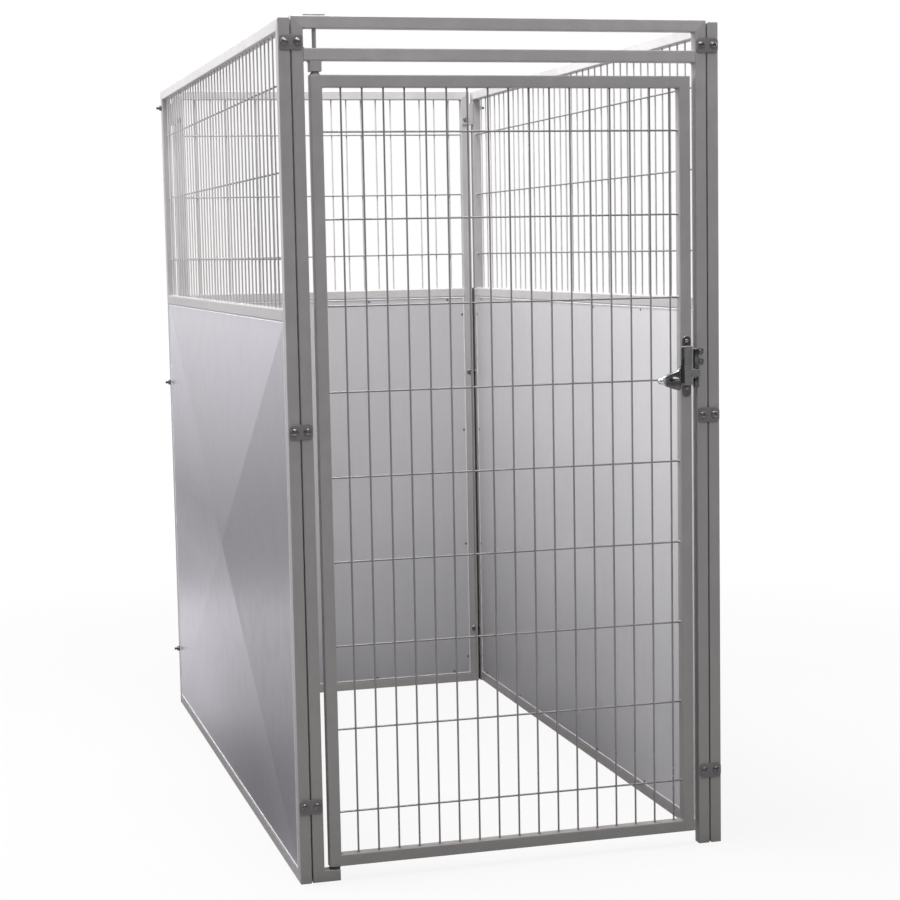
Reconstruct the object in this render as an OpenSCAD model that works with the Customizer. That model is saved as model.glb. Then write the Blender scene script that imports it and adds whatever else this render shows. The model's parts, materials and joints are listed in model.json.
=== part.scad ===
// Outdoor dog kennel run: four welded tube panels bolted into a tall box with no roof and no floor.
// X runs across the gate, Y from the gate to the rear panel, Z up. The origin is on the floor,
// under the middle of the whole outline. Millimetres.

/* [Run] */
// Width over the two side panels
run_w = 974; // [860:1:1300]
// Length from the front faces to the rear faces of the tubes
run_l = 1829; // [1500:1:2600]
// Height of the side and rear panels
run_h = 1829; // [1650:1:2200]
// How far the front panel stands above the side panels
front_rise = 5; // [0:0.5:12]
// Outside size of the square tube
tube = 25.4; // [22:0.1:30]
// Wall of the square tube
wall = 1.6; // [1.2:0.1:2.2]
// Outside corner radius of the square tube
tube_r = 2.4; // [1:0.1:3]
// Height of the lower face of the mid rails
mid_rail_z = 1206; // [900:1:1350]
// Gap between the front panel and each side panel
front_gap = 2.6; // [1:0.1:6]
// Gap between the rear panel and each side panel
rear_gap = 10.1; // [9:0.1:16]

/* [Doorway] */
// Gap from the top rail down to the transom rail
transom_gap = 40.2; // [24:0.1:60]
// Length of the hinge stub under the transom rail
stub_len = 22; // [14:0.5:40]
// Plate that closes the lower end of the hinge stub
stub_floor = 4; // [2:0.5:8]
// Reach of the hinge foot past the hinge axis
foot_past_pin = 10; // [9:0.5:20]
// End wall of the hinge foot and of the free post
end_wall = 2; // [1.2:0.1:4]

/* [Gate] */
// Gap between the gate and each post
gate_side_gap = 12.4; // [8:0.1:20]
// Gap between the hinge stub and the top of the gate
gate_top_gap = 7; // [4:0.1:12]
// Space from the hinge foot up to the gate
gate_lift = 5.6; // [3:0.1:12]
// Running gap on top of the spacer and the collar
turn_gap = 0.2; // [0.1:0.05:0.6]
// Radius of both hinge pins
pin_r = 4.5; // [3.5:0.1:5.5]
// Radial running clearance of the hinge pins
pin_clear = 0.08; // [0.03:0.01:0.1]
// How far each hinge pin reaches into the gate
pin_reach = 28; // [18:1:60]
// Length of the cross head on the lift-out pin
pin_head_l = 48; // [30:1:70]
// Width of the cross head
pin_head_w = 13; // [11.5:0.5:20]
// Thickness of the cross head
pin_head_t = 4.5; // [3:0.5:8]
// Radius of the spacer under the gate
spacer_r = 12; // [9:0.5:12.5]
// Radius of the neck of each bush where it leaves the tube
bush_neck_r = 7.5; // [6.8:0.1:8.5]
// Corner radius of the bush blocks
bush_r = 1.6; // [1:0.1:3]
// Radius of the foot of the collar on the upper bush
collar_r = 11.5; // [9.5:0.1:12]

/* [Mesh] */
// Wire diameter
wire_d = 4.1; // [3:0.1:5]
// Spacing of the upright wires
wire_pitch = 45.7; // [30:0.1:60]
// Spacing of the cross wires
cross_pitch = 181; // [120:1:240]
// Gap between an upright wire and a cross wire
wire_gap = 0.1; // [0.05:0.05:0.3]
// Least distance from an upright wire to a post
wire_margin = 30; // [24:1:45]
// Distance of the gate's first upright wire from its hinge stile
gate_wire_lead = 40.3; // [20:0.1:45]

/* [Sheets] */
// Thickness of each of the two skins in the lower half of a panel
sheet_t = 1; // [0.8:0.1:2]
// Distance of each skin from the face of the tubes
sheet_recess = 1.5; // [1:0.1:3]
// Height of the shallow pyramid that stiffens each skin
sheet_crown = 6; // [2:0.5:6.5]
// Flat border of a skin outside the pyramid
sheet_border = 22; // [20:1:40]
// Clearance round a skin
sheet_fit = 0.3; // [0.1:0.1:0.8]
// Width of the cleats that carry the skins
cleat_w = 18; // [14:0.5:20]
// Thickness of the cleats
cleat_t = 3; // [2:0.1:5]
// Radius of a rivet shank
rivet_r = 2.4; // [1.6:0.1:3]
// Radius of a rivet head
rivet_head_r = 4; // [3.5:0.1:6]
// Height of a rivet head
rivet_head_h = 1.5; // [1:0.1:2.5]
// Largest distance between two rivets
rivet_pitch = 360; // [200:10:500]
// Distance of the end rivets from the corner of a skin
rivet_lead = 55; // [40:1:80]

/* [Corner joints] */
// Height of the low bolts
bolt_low_z = 168; // [100:1:300]
// Height of the middle bolts
bolt_mid_z = 974; // [600:1:1150]
// Distance of the top bolts from the top
bolt_top_drop = 49; // [45:1:60]
// Radius of the bolt shanks
bolt_r = 4; // [3:0.1:4.5]
// Radial clearance of the bolts in plates and tubes
bolt_clear = 0.2; // [0.1:0.05:0.5]
// Radius of the domed bolt heads
dome_r = 8.5; // [7:0.1:9]
// Height of the domed bolt heads
dome_h = 4; // [3:0.1:5]
// Distance across the corners of the nuts
nut_w = 15; // [12:0.1:16]
// Height of the nuts
nut_h = 6.5; // [5:0.1:8]
// Length of thread past the nut on the side bolts
side_thread = 8.5; // [3:0.5:12]
// Length of thread past the nut on the rear bolts
rear_thread = 3; // [2:0.5:8]
// Length of the front corner plates
plate_l = 51; // [48:1:60]
// Height of the front corner plates
plate_h = 32; // [26:1:50]
// Thickness of the front corner plates
plate_t = 3; // [2:0.1:5]
// Corner radius of the front corner plates
plate_r = 8; // [4:0.5:12]
// Outside radius of the threaded inserts in the front posts
insert_r = 5.4; // [5.2:0.1:6.5]
// Length of the threaded inserts
insert_l = 14; // [8:0.5:18]
// Thickness of the rear angles and brackets
angle_t = 3; // [2:0.1:4]
// Radius on the free top corner of the rear angles
angle_r = 8; // [3:0.5:12]
// Height of the top brackets
bracket_h = 63; // [58:1:90]
// Distance of the top brackets from the top
bracket_drop = 37; // [30:1:44]
// Distance from the top to the bolts that hold the brackets to the rear posts
bracket_bolt_drop = 84; // [74:1:86]
// Distance of the angles' and brackets' free edges from the inner edge of the rear posts
angle_set = 1; // [0:0.1:4]

/* [Latch] */
// Height of the middle of the bolt
latch_z = 1068; // [800:1:1200]
// Thickness of the latch base plate
base_t = 3; // [2:0.1:5]
// Width of the base plate and of the housing
base_w = 19; // [17:0.5:22]
// Reach of the base plate above the bolt
base_up = 82; // [74:1:110]
// Reach of the base plate below the bolt
base_down = 52; // [46:1:90]
// Distance of the top screw from the centre of the plate's round end
screw_set_top = 1; // [0:0.5:3]
// Distance of the low screw from the centre of the plate's round end
screw_set_low = 10; // [8:0.5:11]
// Reach of the housing above the bolt
housing_up = 60; // [52:1:66]
// Reach of the housing below the bolt
housing_down = 26; // [24:1:30]
// Depth of the housing in front of the base plate
housing_d = 11; // [10.5:0.5:16]
// Wall of the housing
housing_wall = 1.5; // [1:0.1:2]
// Height of the bolt
bolt_h = 14; // [12:0.5:20]
// Thickness of the bolt
bolt_t = 2.4; // [2:0.1:3]
// Gap round the sliding bolt
bolt_gap = 0.3; // [0.2:0.05:0.5]
// How far the bolt catches behind the strike
bolt_catch = 3; // [2:0.1:3]
// Clearance on each side of the drive arm in the bolt's pocket
pocket_gap = 0.7; // [0.5:0.05:1]
// Metal left round the pocket in the bolt
bolt_web = 1.8; // [1:0.1:2.5]
// Reach of the stop tab past the housing
tab_reach = 18; // [16:0.5:20]
// Height of the stop tab
tab_h = 16; // [12:0.5:18]
// Thickness of the stop tab
tab_t = 2; // [1.5:0.1:3]
// Radius of the lever pin
lever_pin_r = 1.6; // [1.2:0.1:2]
// Radius of the lever barrel and of the ears round the pin
barrel_r = 2.8; // [2.6:0.1:3.2]
// Length of the lever barrel above the lower ear
barrel_h = 54; // [50:0.5:60]
// Height of each ear
ear_h = 4; // [3:0.5:6]
// Reach of the lever past its pin
lever_reach = 59; // [45:1:80]
// Thickness of the lever's web
lever_t = 2.6; // [2:0.1:4]
// Rise of the web at the barrel, above the middle of the bolt
lever_rise = 20; // [16:1:26]
// Radius of the hollow in the upper edge of the web
lever_hollow_r = 16; // [10:1:20]
// Angle that the hollow sweeps through
lever_hollow_sweep = 66; // [54:1:72]
// Height of the fold between the web and its flange, below the middle of the bolt
lever_fold = 21.5; // [20:0.5:28]
// Height of the flange's lower corner, below the middle of the bolt
lever_drop = 41; // [34:1:50]
// How far the flange leans back towards the gate
flange_lean = 5; // [2:0.5:6]
// Width of the flange's edges
flange_edge = 0.5; // [0.3:0.1:1]
// Depth of the lip along the upper edge of the web
lip_d = 4; // [3:0.5:6]
// Width of the lip
lip_w = 2; // [1.5:0.1:3]
// Length of the slot in the web
window_l = 12; // [8:1:16]
// Width of the slot in the web
window_w = 5; // [3:0.5:7]
// Tilt of the slot towards the tip
window_tilt = 18; // [8:1:24]
// Radius of the rounded tip of the lever
tip_r = 8; // [6:0.5:10]
// Height of the middle of the tip, below the middle of the bolt
tip_drop = 15; // [12:0.5:18]
// Width of the lever's drive arm
arm_w = 3; // [2:0.1:3.4]
// Length of the drive arm from the lever pin
arm_l = 5.9; // [5.4:0.1:6]
// Wire diameter of the lever spring
spring_d = 0.9; // [0.6:0.1:1]
// Number of turns of the lever spring
spring_turns = 10; // [5:1:12]
// Thickness of the strike plate
strike_t = 2.5; // [2:0.1:3]
// Gap between the strike and the gate
strike_gap = 2.3; // [1:0.1:3]
// Step from the strike's jaws to its nose
nose_set = 1.5; // [1:0.1:2]
// Gap between the stop tab and each jaw of the strike
jaw_gap = 2; // [1:0.1:4]
// Gap between the jaws of the strike and the front of the post
jaw_set = 1; // [0.5:0.1:3]
// How far the strike plate wraps back over the side of the post
strike_wrap = 18; // [10:0.5:20]
// Height of each strike ear
strike_ear_h = 13; // [11:0.5:16]
// Distance between the two strike ears
strike_ear_pitch = 22.5; // [17:0.5:30]
// Reach of the strike above the bolt
strike_up = 54; // [50:1:70]
// Reach of the strike below the bolt
strike_down = 32; // [24:1:50]
// Reach of the strike ears over the front of the post
strike_ear = 15; // [13:0.5:20]
// Radius of the screw shanks
screw_r = 2.4; // [1.8:0.1:2.6]
// Radius of the screw heads
screw_head_r = 4.2; // [3.6:0.1:4.4]
// Height of the screw heads
screw_head_h = 2.4; // [1.6:0.1:3]
// Length of the screw shanks
screw_l = 12; // [8:0.5:16]

/* [Hidden] */
$fn = 40;

coat = [0.55, 0.54, 0.53];
wire_coat = [0.47, 0.46, 0.46];
sheet_metal = [0.74, 0.74, 0.76];
zinc = [0.62, 0.62, 0.64];
plate_coat = [0.38, 0.37, 0.38];
chrome = [0.42, 0.42, 0.44];
nylon = [0.16, 0.15, 0.15];

// Cuts run past the faces that they open by this much
over = 5;

// Panels: width along u, outer face at depth 0, bottom at height 0
front_w = run_w - 2 * tube - 2 * front_gap;
rear_w = run_w - 2 * tube - 2 * rear_gap;
mid_rail_top = mid_rail_z + tube;
upright_depth = tube / 2 - (wire_d + wire_gap) / 2;
cross_depth = tube / 2 + (wire_d + wire_gap) / 2;

// Depths of the two skins in the lower half of a panel, and of the ring of cleats behind each
outer_skin = sheet_recess;
inner_skin = tube - sheet_recess - sheet_t;
outer_cleat = outer_skin + sheet_t;
inner_cleat = inner_skin - cleat_t;

// Doorway and gate
front_h = run_h + front_rise;
transom_z = front_h - tube - transom_gap - tube;
stub_z = transom_z - stub_len;
gate_w = front_w - 2 * tube - 2 * gate_side_gap;
gate_bottom = tube + gate_lift;
gate_top = stub_z - gate_top_gap;
gate_h = gate_top - gate_bottom;
pin_u = tube + gate_side_gap + tube / 2;
bush_w = tube - 2 * wall - 2 * pin_clear;
foot_l = pin_u + foot_past_pin;

// Corner joints
bolt_heights = [bolt_low_z, bolt_mid_z, run_h - bolt_top_drop];
bracket_z = run_h - bracket_drop - bracket_h;
rear_bolt_heights = [bolt_low_z, bolt_mid_z, run_h - bracket_bolt_drop];
side_in = run_w / 2 - tube;
rear_post_x = rear_w / 2 - tube / 2;
angle_leg = rear_gap + tube - angle_set;

// Latch: x from the middle of the latch stile, y from the front faces of the tubes, outwards negative
latch_x = gate_w / 2 - tube / 2;
housing_front = -base_t - housing_d;
housing_right = base_w / 2;
lever_x = -base_w / 2 - barrel_r - bolt_gap;
lever_y = -base_t - bolt_gap - bolt_t - bolt_gap - barrel_r - pocket_gap;
bolt_front = -base_t - bolt_gap - bolt_t;
strike_face = tube / 2 + gate_side_gap - strike_t;
strike_left = tube / 2 + strike_gap;
nose_left = strike_left + nose_set;
bolt_end = nose_left + bolt_catch;
ear_low = latch_z - housing_down;
ear_top = latch_z + housing_up;
barrel_low = ear_low + ear_h + bolt_gap;
tip_y = lever_y - lever_t / 2;
latch_reach = tip_r - tip_y;

// Lever, from its pin: where the web starts, the middle of its knob, how far the web runs into the knob
lever_root = -barrel_r - bolt_gap;
lever_tip = tip_r - lever_reach;
tip_bury = tip_r * 0.7;

// The middle of the outline lies at y = 0
rear_reach = angle_t + nut_h + rear_thread;
front_y = (latch_reach - rear_reach - run_l) / 2;

// Places of a panel's own directions in the run
module on_front() { translate([-front_w / 2, front_y, 0]) children(); }
module on_gate() { translate([-gate_w / 2, front_y, 0]) children(); }
module on_left() { translate([-run_w / 2, front_y, 0]) mirror([1, 0, 0]) rotate([0, 0, 90]) children(); }
module on_right() { translate([run_w / 2, front_y, 0]) rotate([0, 0, 90]) children(); }
module on_rear() { translate([-rear_w / 2, front_y + run_l, 0]) mirror([0, 1, 0]) children(); }
module on_latch() { translate([latch_x, front_y, 0]) children(); }
module both_sides() {
  children();
  mirror([1, 0, 0]) children();
}

// A flat shape drawn in the panel's face, given a depth from y0 towards the rear
module face_extrude(y0, depth) {
  translate([0, y0 + depth, 0]) rotate([90, 0, 0]) linear_extrude(depth) children();
}

// Round bar along the depth of a panel
module depth_bar(u, z, y0, r, length) {
  translate([u, y0, z]) rotate([-90, 0, 0]) cylinder(r = r, h = length);
}

// Square section with round corners
module rounded_square(size, r) {
  square([size, size - 2 * r], center = true);
  square([size - 2 * r, size], center = true);
  for (sx = [-1, 1], sy = [-1, 1]) {
    translate([sx * (size / 2 - r), sy * (size / 2 - r)]) circle(r = r);
  }
}

module tube_section() {
  difference() {
    rounded_square(tube, tube_r);
    rounded_square(tube - 2 * wall, max(tube_r - wall, 0.5));
  }
}

// Level tube between u0 and u1. A cut of 1 is a mitre with its long side up, -1 with its long side down.
module level_tube(u0, u1, z0, cut0, cut1) {
  function low(cut) = cut == 0 ? 0 : cut == 1 ? tube + over : -over;
  function high(cut) = cut == 0 ? 0 : cut == 1 ? -over : tube + over;
  intersection() {
    translate([u0 - over, tube / 2, z0 + tube / 2])
      rotate([0, 90, 0]) linear_extrude(u1 - u0 + 2 * over) tube_section();
    face_extrude(-over, tube + 2 * over)
      polygon([
        [u0 + low(cut0), z0 - over],
        [u1 - low(cut1), z0 - over],
        [u1 - high(cut1), z0 + tube + over],
        [u0 + high(cut0), z0 + tube + over]
      ]);
  }
}

// Upright tube at u0. The outer side is -1 for the low side of u and 1 for the high side.
module upright_tube(u0, z0, z1, outer, mitre_low, mitre_high) {
  function left(mitre) = mitre ? (outer < 0 ? over : -tube - over) : 0;
  function right(mitre) = mitre ? (outer > 0 ? over : -tube - over) : 0;
  intersection() {
    translate([u0 + tube / 2, tube / 2, z0 - over]) linear_extrude(z1 - z0 + 2 * over) tube_section();
    face_extrude(-over, tube + 2 * over)
      polygon([
        [u0 - over, z0 - left(mitre_low)],
        [u0 + tube + over, z0 - right(mitre_low)],
        [u0 + tube + over, z1 + right(mitre_high)],
        [u0 - over, z1 + left(mitre_high)]
      ]);
  }
}

// Parts of a closed panel that is w wide: posts, rails, skins, cleats, rivets and wires
module panel_post(w, side) {
  upright_tube(side < 0 ? 0 : w - tube, 0, run_h, side, true, true);
}
module panel_top_rail(w) { level_tube(0, w, run_h - tube, 1, 1); }
module panel_mid_rail(w) { level_tube(tube, w - tube, mid_rail_z, 0, 0); }
module panel_bottom_rail(w) { level_tube(0, w, 0, -1, -1); }

// One skin, pressed outwards into a shallow pyramid
module panel_skin(w, face) {
  u0 = tube + sheet_fit;
  u1 = w - tube - sheet_fit;
  z0 = tube + sheet_fit;
  z1 = mid_rail_z - sheet_fit;
  b = sheet_border;
  // One side of it: the border's outer corners, its inner corners and the peak
  function side(depth) = [
    [u0, depth, z0], [u1, depth, z0], [u1, depth, z1], [u0, depth, z1],
    [u0 + b, depth, z0 + b], [u1 - b, depth, z0 + b], [u1 - b, depth, z1 - b], [u0 + b, depth, z1 - b],
    [(u0 + u1) / 2, depth - sheet_crown, (z0 + z1) / 2]
  ];
  outer = concat(
    [for (i = [0:3]) [i, (i + 1) % 4, 4 + (i + 1) % 4, 4 + i]],
    [for (i = [0:3]) [4 + i, 4 + (i + 1) % 4, 8]]
  );
  n = 9;
  inner = [for (f = outer) [for (k = [len(f) - 1:-1:0]) f[k] + n]];
  edge = [for (i = [0:3]) [i, i + n, (i + 1) % 4 + n, (i + 1) % 4]];
  faces = concat(outer, inner, edge);
  polyhedron(points = concat(side(face), side(face + sheet_t)),
    faces = [for (f = faces) [for (k = [len(f) - 1:-1:0]) f[k]]]);
}

// The rivets go through the inner skin only
module panel_sheet(w) {
  panel_skin(w, outer_skin);
  difference() {
    panel_skin(w, inner_skin);
    panel_rivet_places(w) depth_bar(0, 0, inner_skin - over, rivet_r + bolt_clear, sheet_t + 2 * over);
  }
}

// Rivet places along one side, in equal steps no longer than the rivet pitch
function rivet_steps(from, to) =
  let (n = ceil((to - from - 2 * rivet_lead) / rivet_pitch))
  [for (i = [0:n]) from + rivet_lead + i * (to - from - 2 * rivet_lead) / n];

module panel_rivet_places(w) {
  for (u = rivet_steps(tube, w - tube), z = [tube + cleat_w / 2, mid_rail_z - cleat_w / 2]) {
    translate([u, 0, z]) children();
  }
  for (z = rivet_steps(tube, mid_rail_z), u = [tube + cleat_w / 2, w - tube - cleat_w / 2]) {
    translate([u, 0, z]) children();
  }
}

// Ring of flat bars inside the tubes, at one depth
module cleat_ring(w, y0) {
  for (z = [tube, mid_rail_z - cleat_w]) {
    translate([tube, y0, z]) cube([w - 2 * tube, cleat_t, cleat_w]);
  }
  for (u = [tube, w - tube - cleat_w]) {
    translate([u, y0, tube + cleat_w]) cube([cleat_w, cleat_t, mid_rail_z - tube - 2 * cleat_w]);
  }
}

module panel_cleats(w) {
  cleat_ring(w, outer_cleat);
  difference() {
    cleat_ring(w, inner_cleat);
    panel_rivet_places(w) depth_bar(0, 0, inner_cleat - over, rivet_r + bolt_clear, cleat_t + 2 * over);
  }
}

module panel_rivets(w) {
  grip = cleat_t + sheet_t;
  panel_rivet_places(w) {
    depth_bar(0, 0, inner_cleat, rivet_r, grip + rivet_head_h / 2);
    translate([0, inner_cleat + grip, 0]) rotate([-90, 0, 0]) dome(rivet_head_r, rivet_head_h);
  }
}

module panel_uprights(w) {
  clear = w - 2 * tube;
  n = floor((clear - 2 * wire_margin) / wire_pitch);
  u0 = tube + (clear - n * wire_pitch) / 2;
  for (i = [0:n]) upright_wire(u0 + i * wire_pitch, mid_rail_top, run_h - tube);
}

module panel_cross_wires(w) {
  clear = run_h - tube - mid_rail_top;
  n = floor(clear / cross_pitch) - 1;
  z0 = mid_rail_top + (clear - n * cross_pitch) / 2;
  for (i = [0:n]) cross_wire(tube, w - tube, z0 + i * cross_pitch);
}

module upright_wire(u, z0, z1) {
  translate([u, upright_depth, z0]) cylinder(d = wire_d, h = z1 - z0);
}

module cross_wire(u0, u1, z) {
  translate([u0, cross_depth, z]) rotate([0, 90, 0]) cylinder(d = wire_d, h = u1 - u0);
}

// Low dome on z = 0, cut from a ball
module dome(r, h) {
  ball = (r * r + h * h) / (2 * h);
  intersection() {
    translate([0, 0, h - ball]) sphere(r = ball, $fn = 64);
    cylinder(r = r, h = h);
  }
}

// Bolt along z with its head below z = 0
module dome_bolt(length) {
  mirror([0, 0, 1]) dome(dome_r, dome_h);
  cylinder(r = bolt_r, h = length);
}

module hex_nut() {
  difference() {
    cylinder(d = nut_w, h = nut_h, $fn = 6);
    translate([0, 0, -over]) cylinder(r = bolt_r + bolt_clear / 2, h = nut_h + 2 * over);
  }
}

// Front panel
module insert_holes(u) {
  for (z = bolt_heights) depth_bar(u, z, -over, insert_r + bolt_clear / 2, over + 2 * wall);
}

module hinge_hole(u, z, r, h) {
  translate([u, tube / 2, z]) cylinder(r = r, h = h);
}

module front_left_post() {
  color(coat) on_front() difference() {
    upright_tube(0, 0, front_h, -1, true, true);
    insert_holes(tube / 2);
  }
}

module front_right_post() {
  color(coat) on_front() difference() {
    union() {
      upright_tube(front_w - tube, 0, front_h, 1, false, true);
      translate([front_w - tube / 2, tube / 2, 0]) linear_extrude(end_wall) rounded_square(tube, tube_r);
    }
    insert_holes(front_w - tube / 2);
    strike_screw_places() depth_bar(front_w / 2, 0, -over, screw_r + bolt_clear / 2, over + 2 * wall);
  }
}

module front_top_rail() {
  color(coat) on_front() difference() {
    level_tube(0, front_w, front_h - tube, 1, 1);
    hinge_hole(pin_u, front_h - tube - over, pin_r + bolt_clear, tube + 2 * over);
  }
}

module front_transom_rail() {
  color(coat) on_front() difference() {
    level_tube(tube, front_w - tube, transom_z, 0, 0);
    hinge_hole(pin_u, transom_z - over, pin_r + bolt_clear, tube + 2 * over);
  }
}

module hinge_stub() {
  color(coat) on_front() difference() {
    translate([pin_u, tube / 2, stub_z]) {
      linear_extrude(stub_len) tube_section();
      linear_extrude(stub_floor) rounded_square(tube, tube_r);
    }
    hinge_hole(pin_u, stub_z - over, pin_r + pin_clear, stub_len + over);
  }
}

module hinge_foot() {
  color(coat) on_front() difference() {
    union() {
      level_tube(0, foot_l, 0, -1, 0);
      translate([foot_l - end_wall, tube / 2, tube / 2])
        rotate([0, 90, 0]) linear_extrude(end_wall) rounded_square(tube, tube_r);
    }
    hinge_hole(pin_u, tube / 2, pin_r + pin_clear, tube);
  }
}

module lower_hinge_pin() {
  color(zinc) on_front() hinge_hole(pin_u, wall, pin_r, gate_bottom + pin_reach - wall);
}

module foot_spacer() {
  color(nylon) on_front() difference() {
    hinge_hole(pin_u, tube, spacer_r, gate_lift - turn_gap);
    hinge_hole(pin_u, tube - over, pin_r + pin_clear, gate_lift + 2 * over);
  }
}

module upper_hinge_pin() {
  flat_l = pin_head_l - pin_head_w;
  color(zinc) on_front() {
    hinge_hole(pin_u, gate_top - pin_reach, pin_r, front_h - gate_top + pin_reach + pin_head_t / 2);
    translate([pin_u, tube / 2, front_h]) linear_extrude(pin_head_t) {
      square([flat_l, pin_head_w], center = true);
      for (s = [-1, 1]) translate([s * flat_l / 2, 0]) circle(d = pin_head_w);
    }
  }
}

// Side panels
module side_front_post() {
  difference() {
    panel_post(run_l, -1);
    for (z = bolt_heights) {
      translate([-over, tube / 2, z]) rotate([0, 90, 0])
        cylinder(r = insert_r + bolt_clear / 2, h = over + 2 * wall);
    }
  }
}

module side_rear_post() {
  difference() {
    panel_post(run_l, 1);
    for (z = bolt_heights) depth_bar(run_l - tube / 2, z, -over, bolt_r + bolt_clear, tube + 2 * over);
  }
}

module left_front_post() { color(coat) on_left() side_front_post(); }
module left_rear_post() { color(coat) on_left() side_rear_post(); }
module left_top_rail() { color(coat) on_left() panel_top_rail(run_l); }
module left_mid_rail() { color(coat) on_left() panel_mid_rail(run_l); }
module left_bottom_rail() { color(coat) on_left() panel_bottom_rail(run_l); }
module left_sheet() { color(sheet_metal) on_left() panel_sheet(run_l); }
module left_uprights() { color(wire_coat) on_left() panel_uprights(run_l); }
module left_cross_wires() { color(wire_coat) on_left() panel_cross_wires(run_l); }

module right_front_post() { color(coat) on_right() side_front_post(); }
module right_rear_post() { color(coat) on_right() side_rear_post(); }
module right_top_rail() { color(coat) on_right() panel_top_rail(run_l); }
module right_mid_rail() { color(coat) on_right() panel_mid_rail(run_l); }
module right_bottom_rail() { color(coat) on_right() panel_bottom_rail(run_l); }
module right_sheet() { color(sheet_metal) on_right() panel_sheet(run_l); }
module right_uprights() { color(wire_coat) on_right() panel_uprights(run_l); }
module right_cross_wires() { color(wire_coat) on_right() panel_cross_wires(run_l); }

// Rear panel
module rear_post(side) {
  u = side < 0 ? tube / 2 : rear_w - tube / 2;
  difference() {
    panel_post(rear_w, side);
    for (z = rear_bolt_heights) depth_bar(u, z, -over, bolt_r + bolt_clear, tube + 2 * over);
  }
}

module rear_left_post() { color(coat) on_rear() rear_post(-1); }
module rear_right_post() { color(coat) on_rear() rear_post(1); }
module rear_top_rail() { color(coat) on_rear() panel_top_rail(rear_w); }
module rear_mid_rail() { color(coat) on_rear() panel_mid_rail(rear_w); }
module rear_bottom_rail() { color(coat) on_rear() panel_bottom_rail(rear_w); }
module rear_sheet() { color(sheet_metal) on_rear() panel_sheet(rear_w); }
module rear_uprights() { color(wire_coat) on_rear() panel_uprights(rear_w); }
module rear_cross_wires() { color(wire_coat) on_rear() panel_cross_wires(rear_w); }

module sheet_cleats() {
  color(coat) {
    on_left() panel_cleats(run_l);
    on_right() panel_cleats(run_l);
    on_rear() panel_cleats(rear_w);
  }
}

module sheet_rivets() {
  color(zinc) {
    on_left() panel_rivets(run_l);
    on_right() panel_rivets(run_l);
    on_rear() panel_rivets(rear_w);
  }
}

// Gate, drawn on the gate's own width
module gate_pin_holes() {
  r = bush_neck_r + bolt_clear / 2;
  hinge_hole(tube / 2, gate_bottom - over, r, over + 2 * wall);
  hinge_hole(tube / 2, gate_top - 2 * wall, r, over + 2 * wall);
}

module gate_hinge_stile() {
  color(coat) on_gate() difference() {
    upright_tube(0, gate_bottom, gate_top, -1, true, true);
    gate_pin_holes();
  }
}

module gate_latch_stile() {
  color(coat) on_gate() difference() {
    upright_tube(gate_w - tube, gate_bottom, gate_top, 1, true, true);
    latch_screw_places() depth_bar(gate_w - tube / 2, 0, -over, screw_r + bolt_clear / 2, over + 2 * wall);
  }
}

module gate_top_rail() {
  color(coat) on_gate() difference() {
    level_tube(0, gate_w, gate_top - tube, 1, 1);
    gate_pin_holes();
  }
}

module gate_bottom_rail() {
  color(coat) on_gate() difference() {
    level_tube(0, gate_w, gate_bottom, -1, -1);
    gate_pin_holes();
  }
}

module gate_uprights() {
  clear = gate_w - 2 * tube;
  n = floor((clear - gate_wire_lead - wire_margin / 2) / wire_pitch);
  color(wire_coat) on_gate() {
    for (i = [0:n]) {
      upright_wire(tube + gate_wire_lead + i * wire_pitch, gate_bottom + tube, gate_top - tube);
    }
  }
}

module gate_cross_wires() {
  clear = gate_h - 2 * tube;
  n = round(clear / cross_pitch);
  step = clear / n;
  color(wire_coat) on_gate() {
    for (i = [0:n - 1]) cross_wire(tube, gate_w - tube, gate_bottom + tube + (i + 0.5) * step);
  }
}

// Square block inside the stile with a round neck through the wall of the tube
module bush_block(z) {
  translate([tube / 2, tube / 2, z + wall])
    linear_extrude(pin_reach - 2 * wall) rounded_square(bush_w, bush_r);
}

module gate_upper_bush() {
  color(nylon) on_gate() difference() {
    union() {
      bush_block(gate_top - pin_reach);
      hinge_hole(tube / 2, gate_top - 2 * wall, bush_neck_r, 2 * wall + gate_top_gap / 2);
      translate([tube / 2, tube / 2, gate_top])
        cylinder(r1 = collar_r, r2 = bush_neck_r, h = gate_top_gap - turn_gap);
    }
    hinge_hole(tube / 2, gate_top - pin_reach - over, pin_r + pin_clear, pin_reach + gate_top_gap + 2 * over);
  }
}

module gate_lower_bush() {
  color(nylon) on_gate() difference() {
    union() {
      bush_block(gate_bottom);
      hinge_hole(tube / 2, gate_bottom, bush_neck_r, 2 * wall);
    }
    hinge_hole(tube / 2, gate_bottom - over, pin_r + pin_clear, pin_reach + 2 * over);
  }
}

// Corner joints
module front_corner_places() {
  for (z = bolt_heights) translate([front_w / 2 + front_gap / 2, front_y, z]) children();
}

module front_bolt_places() {
  reach = (front_gap + tube) / 2;
  both_sides() front_corner_places() {
    for (s = [-1, 1]) translate([s * reach, 0, 0]) children();
  }
}

module front_corner_plates() {
  inner_l = plate_l - 2 * plate_r;
  inner_h = plate_h - 2 * plate_r;
  color(plate_coat) difference() {
    both_sides() front_corner_places() face_extrude(-plate_t, plate_t) {
      square([inner_l, plate_h], center = true);
      square([plate_l, inner_h], center = true);
      for (sx = [-1, 1], sz = [-1, 1]) translate([sx * inner_l / 2, sz * inner_h / 2]) circle(r = plate_r);
    }
    front_bolt_places() depth_bar(0, 0, -plate_t - over, bolt_r + bolt_clear, plate_t + 2 * over);
  }
}

module front_plate_bolts() {
  color(zinc) front_bolt_places()
    translate([0, -plate_t, 0]) rotate([-90, 0, 0]) dome_bolt(plate_t + insert_l);
}

module front_plate_inserts() {
  color(zinc) difference() {
    front_bolt_places() depth_bar(0, 0, 0, insert_r, insert_l);
    front_bolt_places() depth_bar(0, 0, -over, bolt_r + bolt_clear / 2, insert_l + 2 * over);
  }
}

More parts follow.
